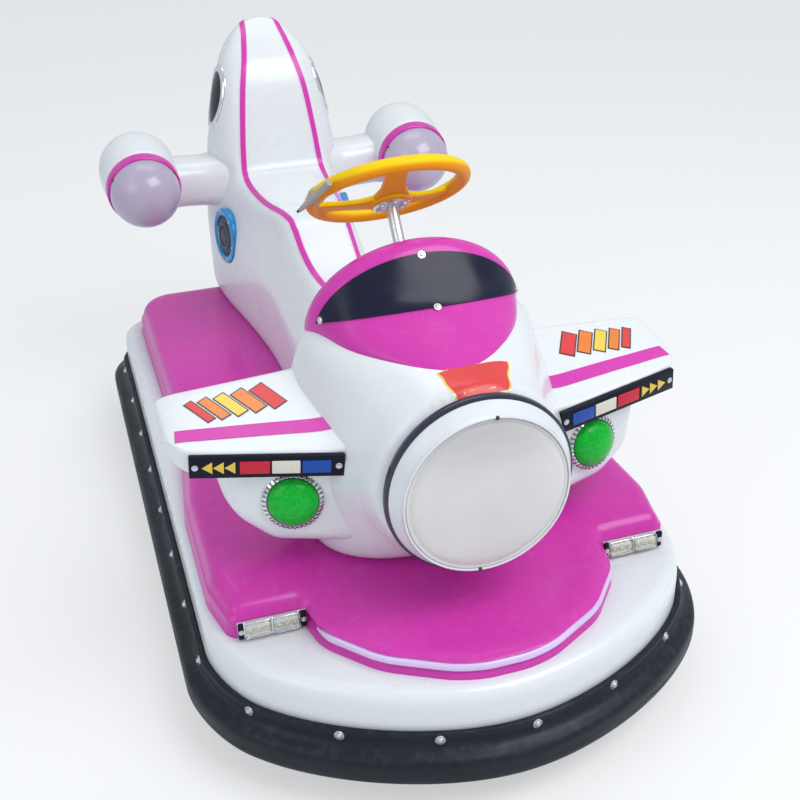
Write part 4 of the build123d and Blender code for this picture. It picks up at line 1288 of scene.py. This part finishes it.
def build_lever():
    """The flat thumb lever across the rim's left side, on a thin clamp."""
    clamp = []
    for k in range(CLAMP_ROWS):
        turn = radians(CLAMP_START + k * CLAMP_STEP)
        out = Vector((cos(turn), sin(turn), 0))
        radius = RIM_TUBE + (-0.2 if k in (0, CLAMP_ROWS - 1) else 1.4)
        clamp.append(round_ring(out * RIM_RADIUS, out, radius, radius, 18))
    bm = sleeve(clamp)
    line = curve_through(LEVER_WAY, 4)
    rows = []
    for i, here in enumerate(line):
        share = i / (len(line) - 1) * (len(LEVER_HALF) - 1)
        low = min(int(share), len(LEVER_HALF) - 2)
        half = LEVER_HALF[low] + (LEVER_HALF[low + 1] - LEVER_HALF[low]) * (share - low)
        rows.append(round_ring(here, heading(line, i).cross(UP).normalized(), half, min(half, 6.4), 12))
    add(bm, sleeve(rows[:-4]))
    add(bm, sleeve(rows[-5:]), None, 1)
    piece("wheel_lever", put(bm, WHEEL_FRAME), ["grey_tape", "black_trim"], body="steering", sharp=45)


# ==== running gear ================================================================================
BARE_NODES = {"chassis_frame": "frame_paint", "battery": "battery_case", "drive_fork": "frame_paint",
              "drive_motor": "wheel_metal", "drive_axle": "bright_steel", "rear_axle": "bright_steel",
              "steering_column": "bright_steel", "column_bush": "black_trim", "drive_hub": "wheel_metal",
              "rear_hub_left": "wheel_metal", "rear_hub_right": "wheel_metal"}


def build_tyre(name, body, centre, radius, width, node_name):
    half = width / 2
    shoulder = [(radius - 32, half - 1), (radius - 14, half), (radius - 6, half - 1), (radius - 1.5, half - 5),
                (radius, half - 10)]
    tread = [(r, -u) for r, u in shoulder]
    for k in range(-2, 3):
        groove = k * (half - 8) / 2.6
        tread += [(radius, groove - 2.4), (radius - 3, groove - 1.6), (radius - 3, groove + 1.6),
                  (radius, groove + 2.4)]
    tread += shoulder[::-1] + [(radius - 32, -half + 1)]
    tyre = put(lathe(tread, 72), facing(centre, (1, 0, 0)))
    piece(f"{name}_tyre_detail", tyre, "tyre_rubber", body=body, stands_for=[node_name])


def dress_frame():
    """The CAD's own nodes that stay in view get their finishes."""
    for node_name, finish in BARE_NODES.items():
        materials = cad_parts[node_name].data.materials
        materials.clear()
        materials.append(FINISHES[finish])


# ==== lines and patches laid on the mouldings =====================================================
SEAT_LINE = [
    (40, 930, 1059), (52, 874, 1034), (67, 817, 983), (84, 783, 911), (97, 760, 809), (102, 750, 756), (105, 736, 709),
    (106, 693, 689), (102, 604, 686), (94, 521, 688), (84, 445, 699), (75, 373, 706), (73, 343, 694), (70, 311, 669),
    (67, 279, 648), (64, 236, 631), (58, 192, 617), (51, 150, 607), (43, 112, 602), (31, 84, 600), (16, 70, 600),
    (0, 66, 600)]
WING_STRIPE = [(219, -521, 632), (300, -506, 632), (370, -494, 633), (440, -483, 634), (506, -472, 634)]
# finish, x of its middle, width of each speed bar, from the body outwards
SPEED_BARS = [("flash_red", 306, 28), ("flash_orange", 344, 25), ("flash_yellow", 379, 22), ("flash_orange", 411, 19),
              ("flash_red", 439, 15)]
PATCH = [(-44, -626), (94, -612), (66, -688), (-34, -698)]
PATCH_ROWS, PATCH_STEPS = 8, 12


def lay_lines(side, sign, body, wing):
    path = curve_through([(x * sign, y, z) for x, y, z in SEAT_LINE], 5)
    painted_line(f"seat_line_edge_{side}", path, 19, "pale_line", body, 0.3)
    painted_line(f"seat_line_{side}", path, 14, "pink_shell", body, 0.7)
    stripe = curve_through([(x * sign, y, z) for x, y, z in WING_STRIPE], 6)
    painted_line(f"wing_stripe_{side}", stripe, 34, "pink_shell", wing, 0.5)


def lay_flash(side, sign, wing):
    """Five slanted speed bars, each a black backing with a warm colour on it."""
    for k, (finish, x, width) in enumerate(SPEED_BARS):
        ends = [((x - 8) * sign, -452, 664), ((x + 10) * sign, -418, 668), ((x + 28) * sign, -384, 672)]
        path = curve_through(ends, 8)
        painted_line(f"speed_bar_back_{k}_{side}", path, width + 5, "flash_black", wing, 0.35)
        painted_line(f"speed_bar_{k}_{side}", path[1:-1], width, finish, wing, 0.7)


def lay_patch(name, grow, finish, tree, height):
    """The four-cornered patch with slightly waved edges, laid on the nose from above."""
    corners = [Vector(corner) for corner in PATCH]
    middle = sum(corners, Vector((0, 0))) / 4
    spread = [corner + (corner - middle).normalized() * grow for corner in corners]
    rows = []
    for i in range(PATCH_ROWS + 1):
        v = i / PATCH_ROWS
        start, end = spread[0].lerp(spread[3], v), spread[1].lerp(spread[2], v)
        row = []
        for k in range(PATCH_STEPS + 1):
            u = k / PATCH_STEPS
            here = start.lerp(end, u)
            spot, normal = straight_down(tree, here.x + 2.0 * sin(v * 9), here.y + 2.0 * sin(u * 8))
            row.append(spot + normal * height * MM)
        rows.append(row)
    lay(name, rows, finish, UP)


# ==== making ======================================================================================
add_camera()
add_sky()
add_lamps()
add_floor()
bpy.context.scene.view_settings.view_transform = "Standard"
build_bumper()
build_hull()
build_deck()
build_light_strip()
body_tree = surface(build_body())
build_cowl(body_tree)
build_nose()
for side, sign in SIDES:
    wing_tree = surface(build_wing(side, sign))
    build_fairing(side, sign)
    build_light_bar(side, sign)
    build_green_lamp(side, sign)
    build_strobe(side, sign)
    build_pod(side, sign)
    build_tail_lamp(side, sign, body_tree)
    build_tail_speaker(side, sign, body_tree)
    build_tyre(f"rear_{side}", f"rear_wheel_{side}", (385 * sign, 600, 100), 100, 48, f"rear_tyre_{side}")
    lay_lines(side, sign, body_tree, wing_tree)
    lay_flash(side, sign, wing_tree)
build_tyre("drive", "drive_wheel", (0, -560, 110), 110, 58, "drive_tyre")
build_steering_wheel()
build_lever()
dress_frame()
lay_patch("nose_patch_edge", 4.5, "flash_yellow", body_tree, 0.3)
lay_patch("nose_patch", 0, "flash_red", body_tree, 1.3)
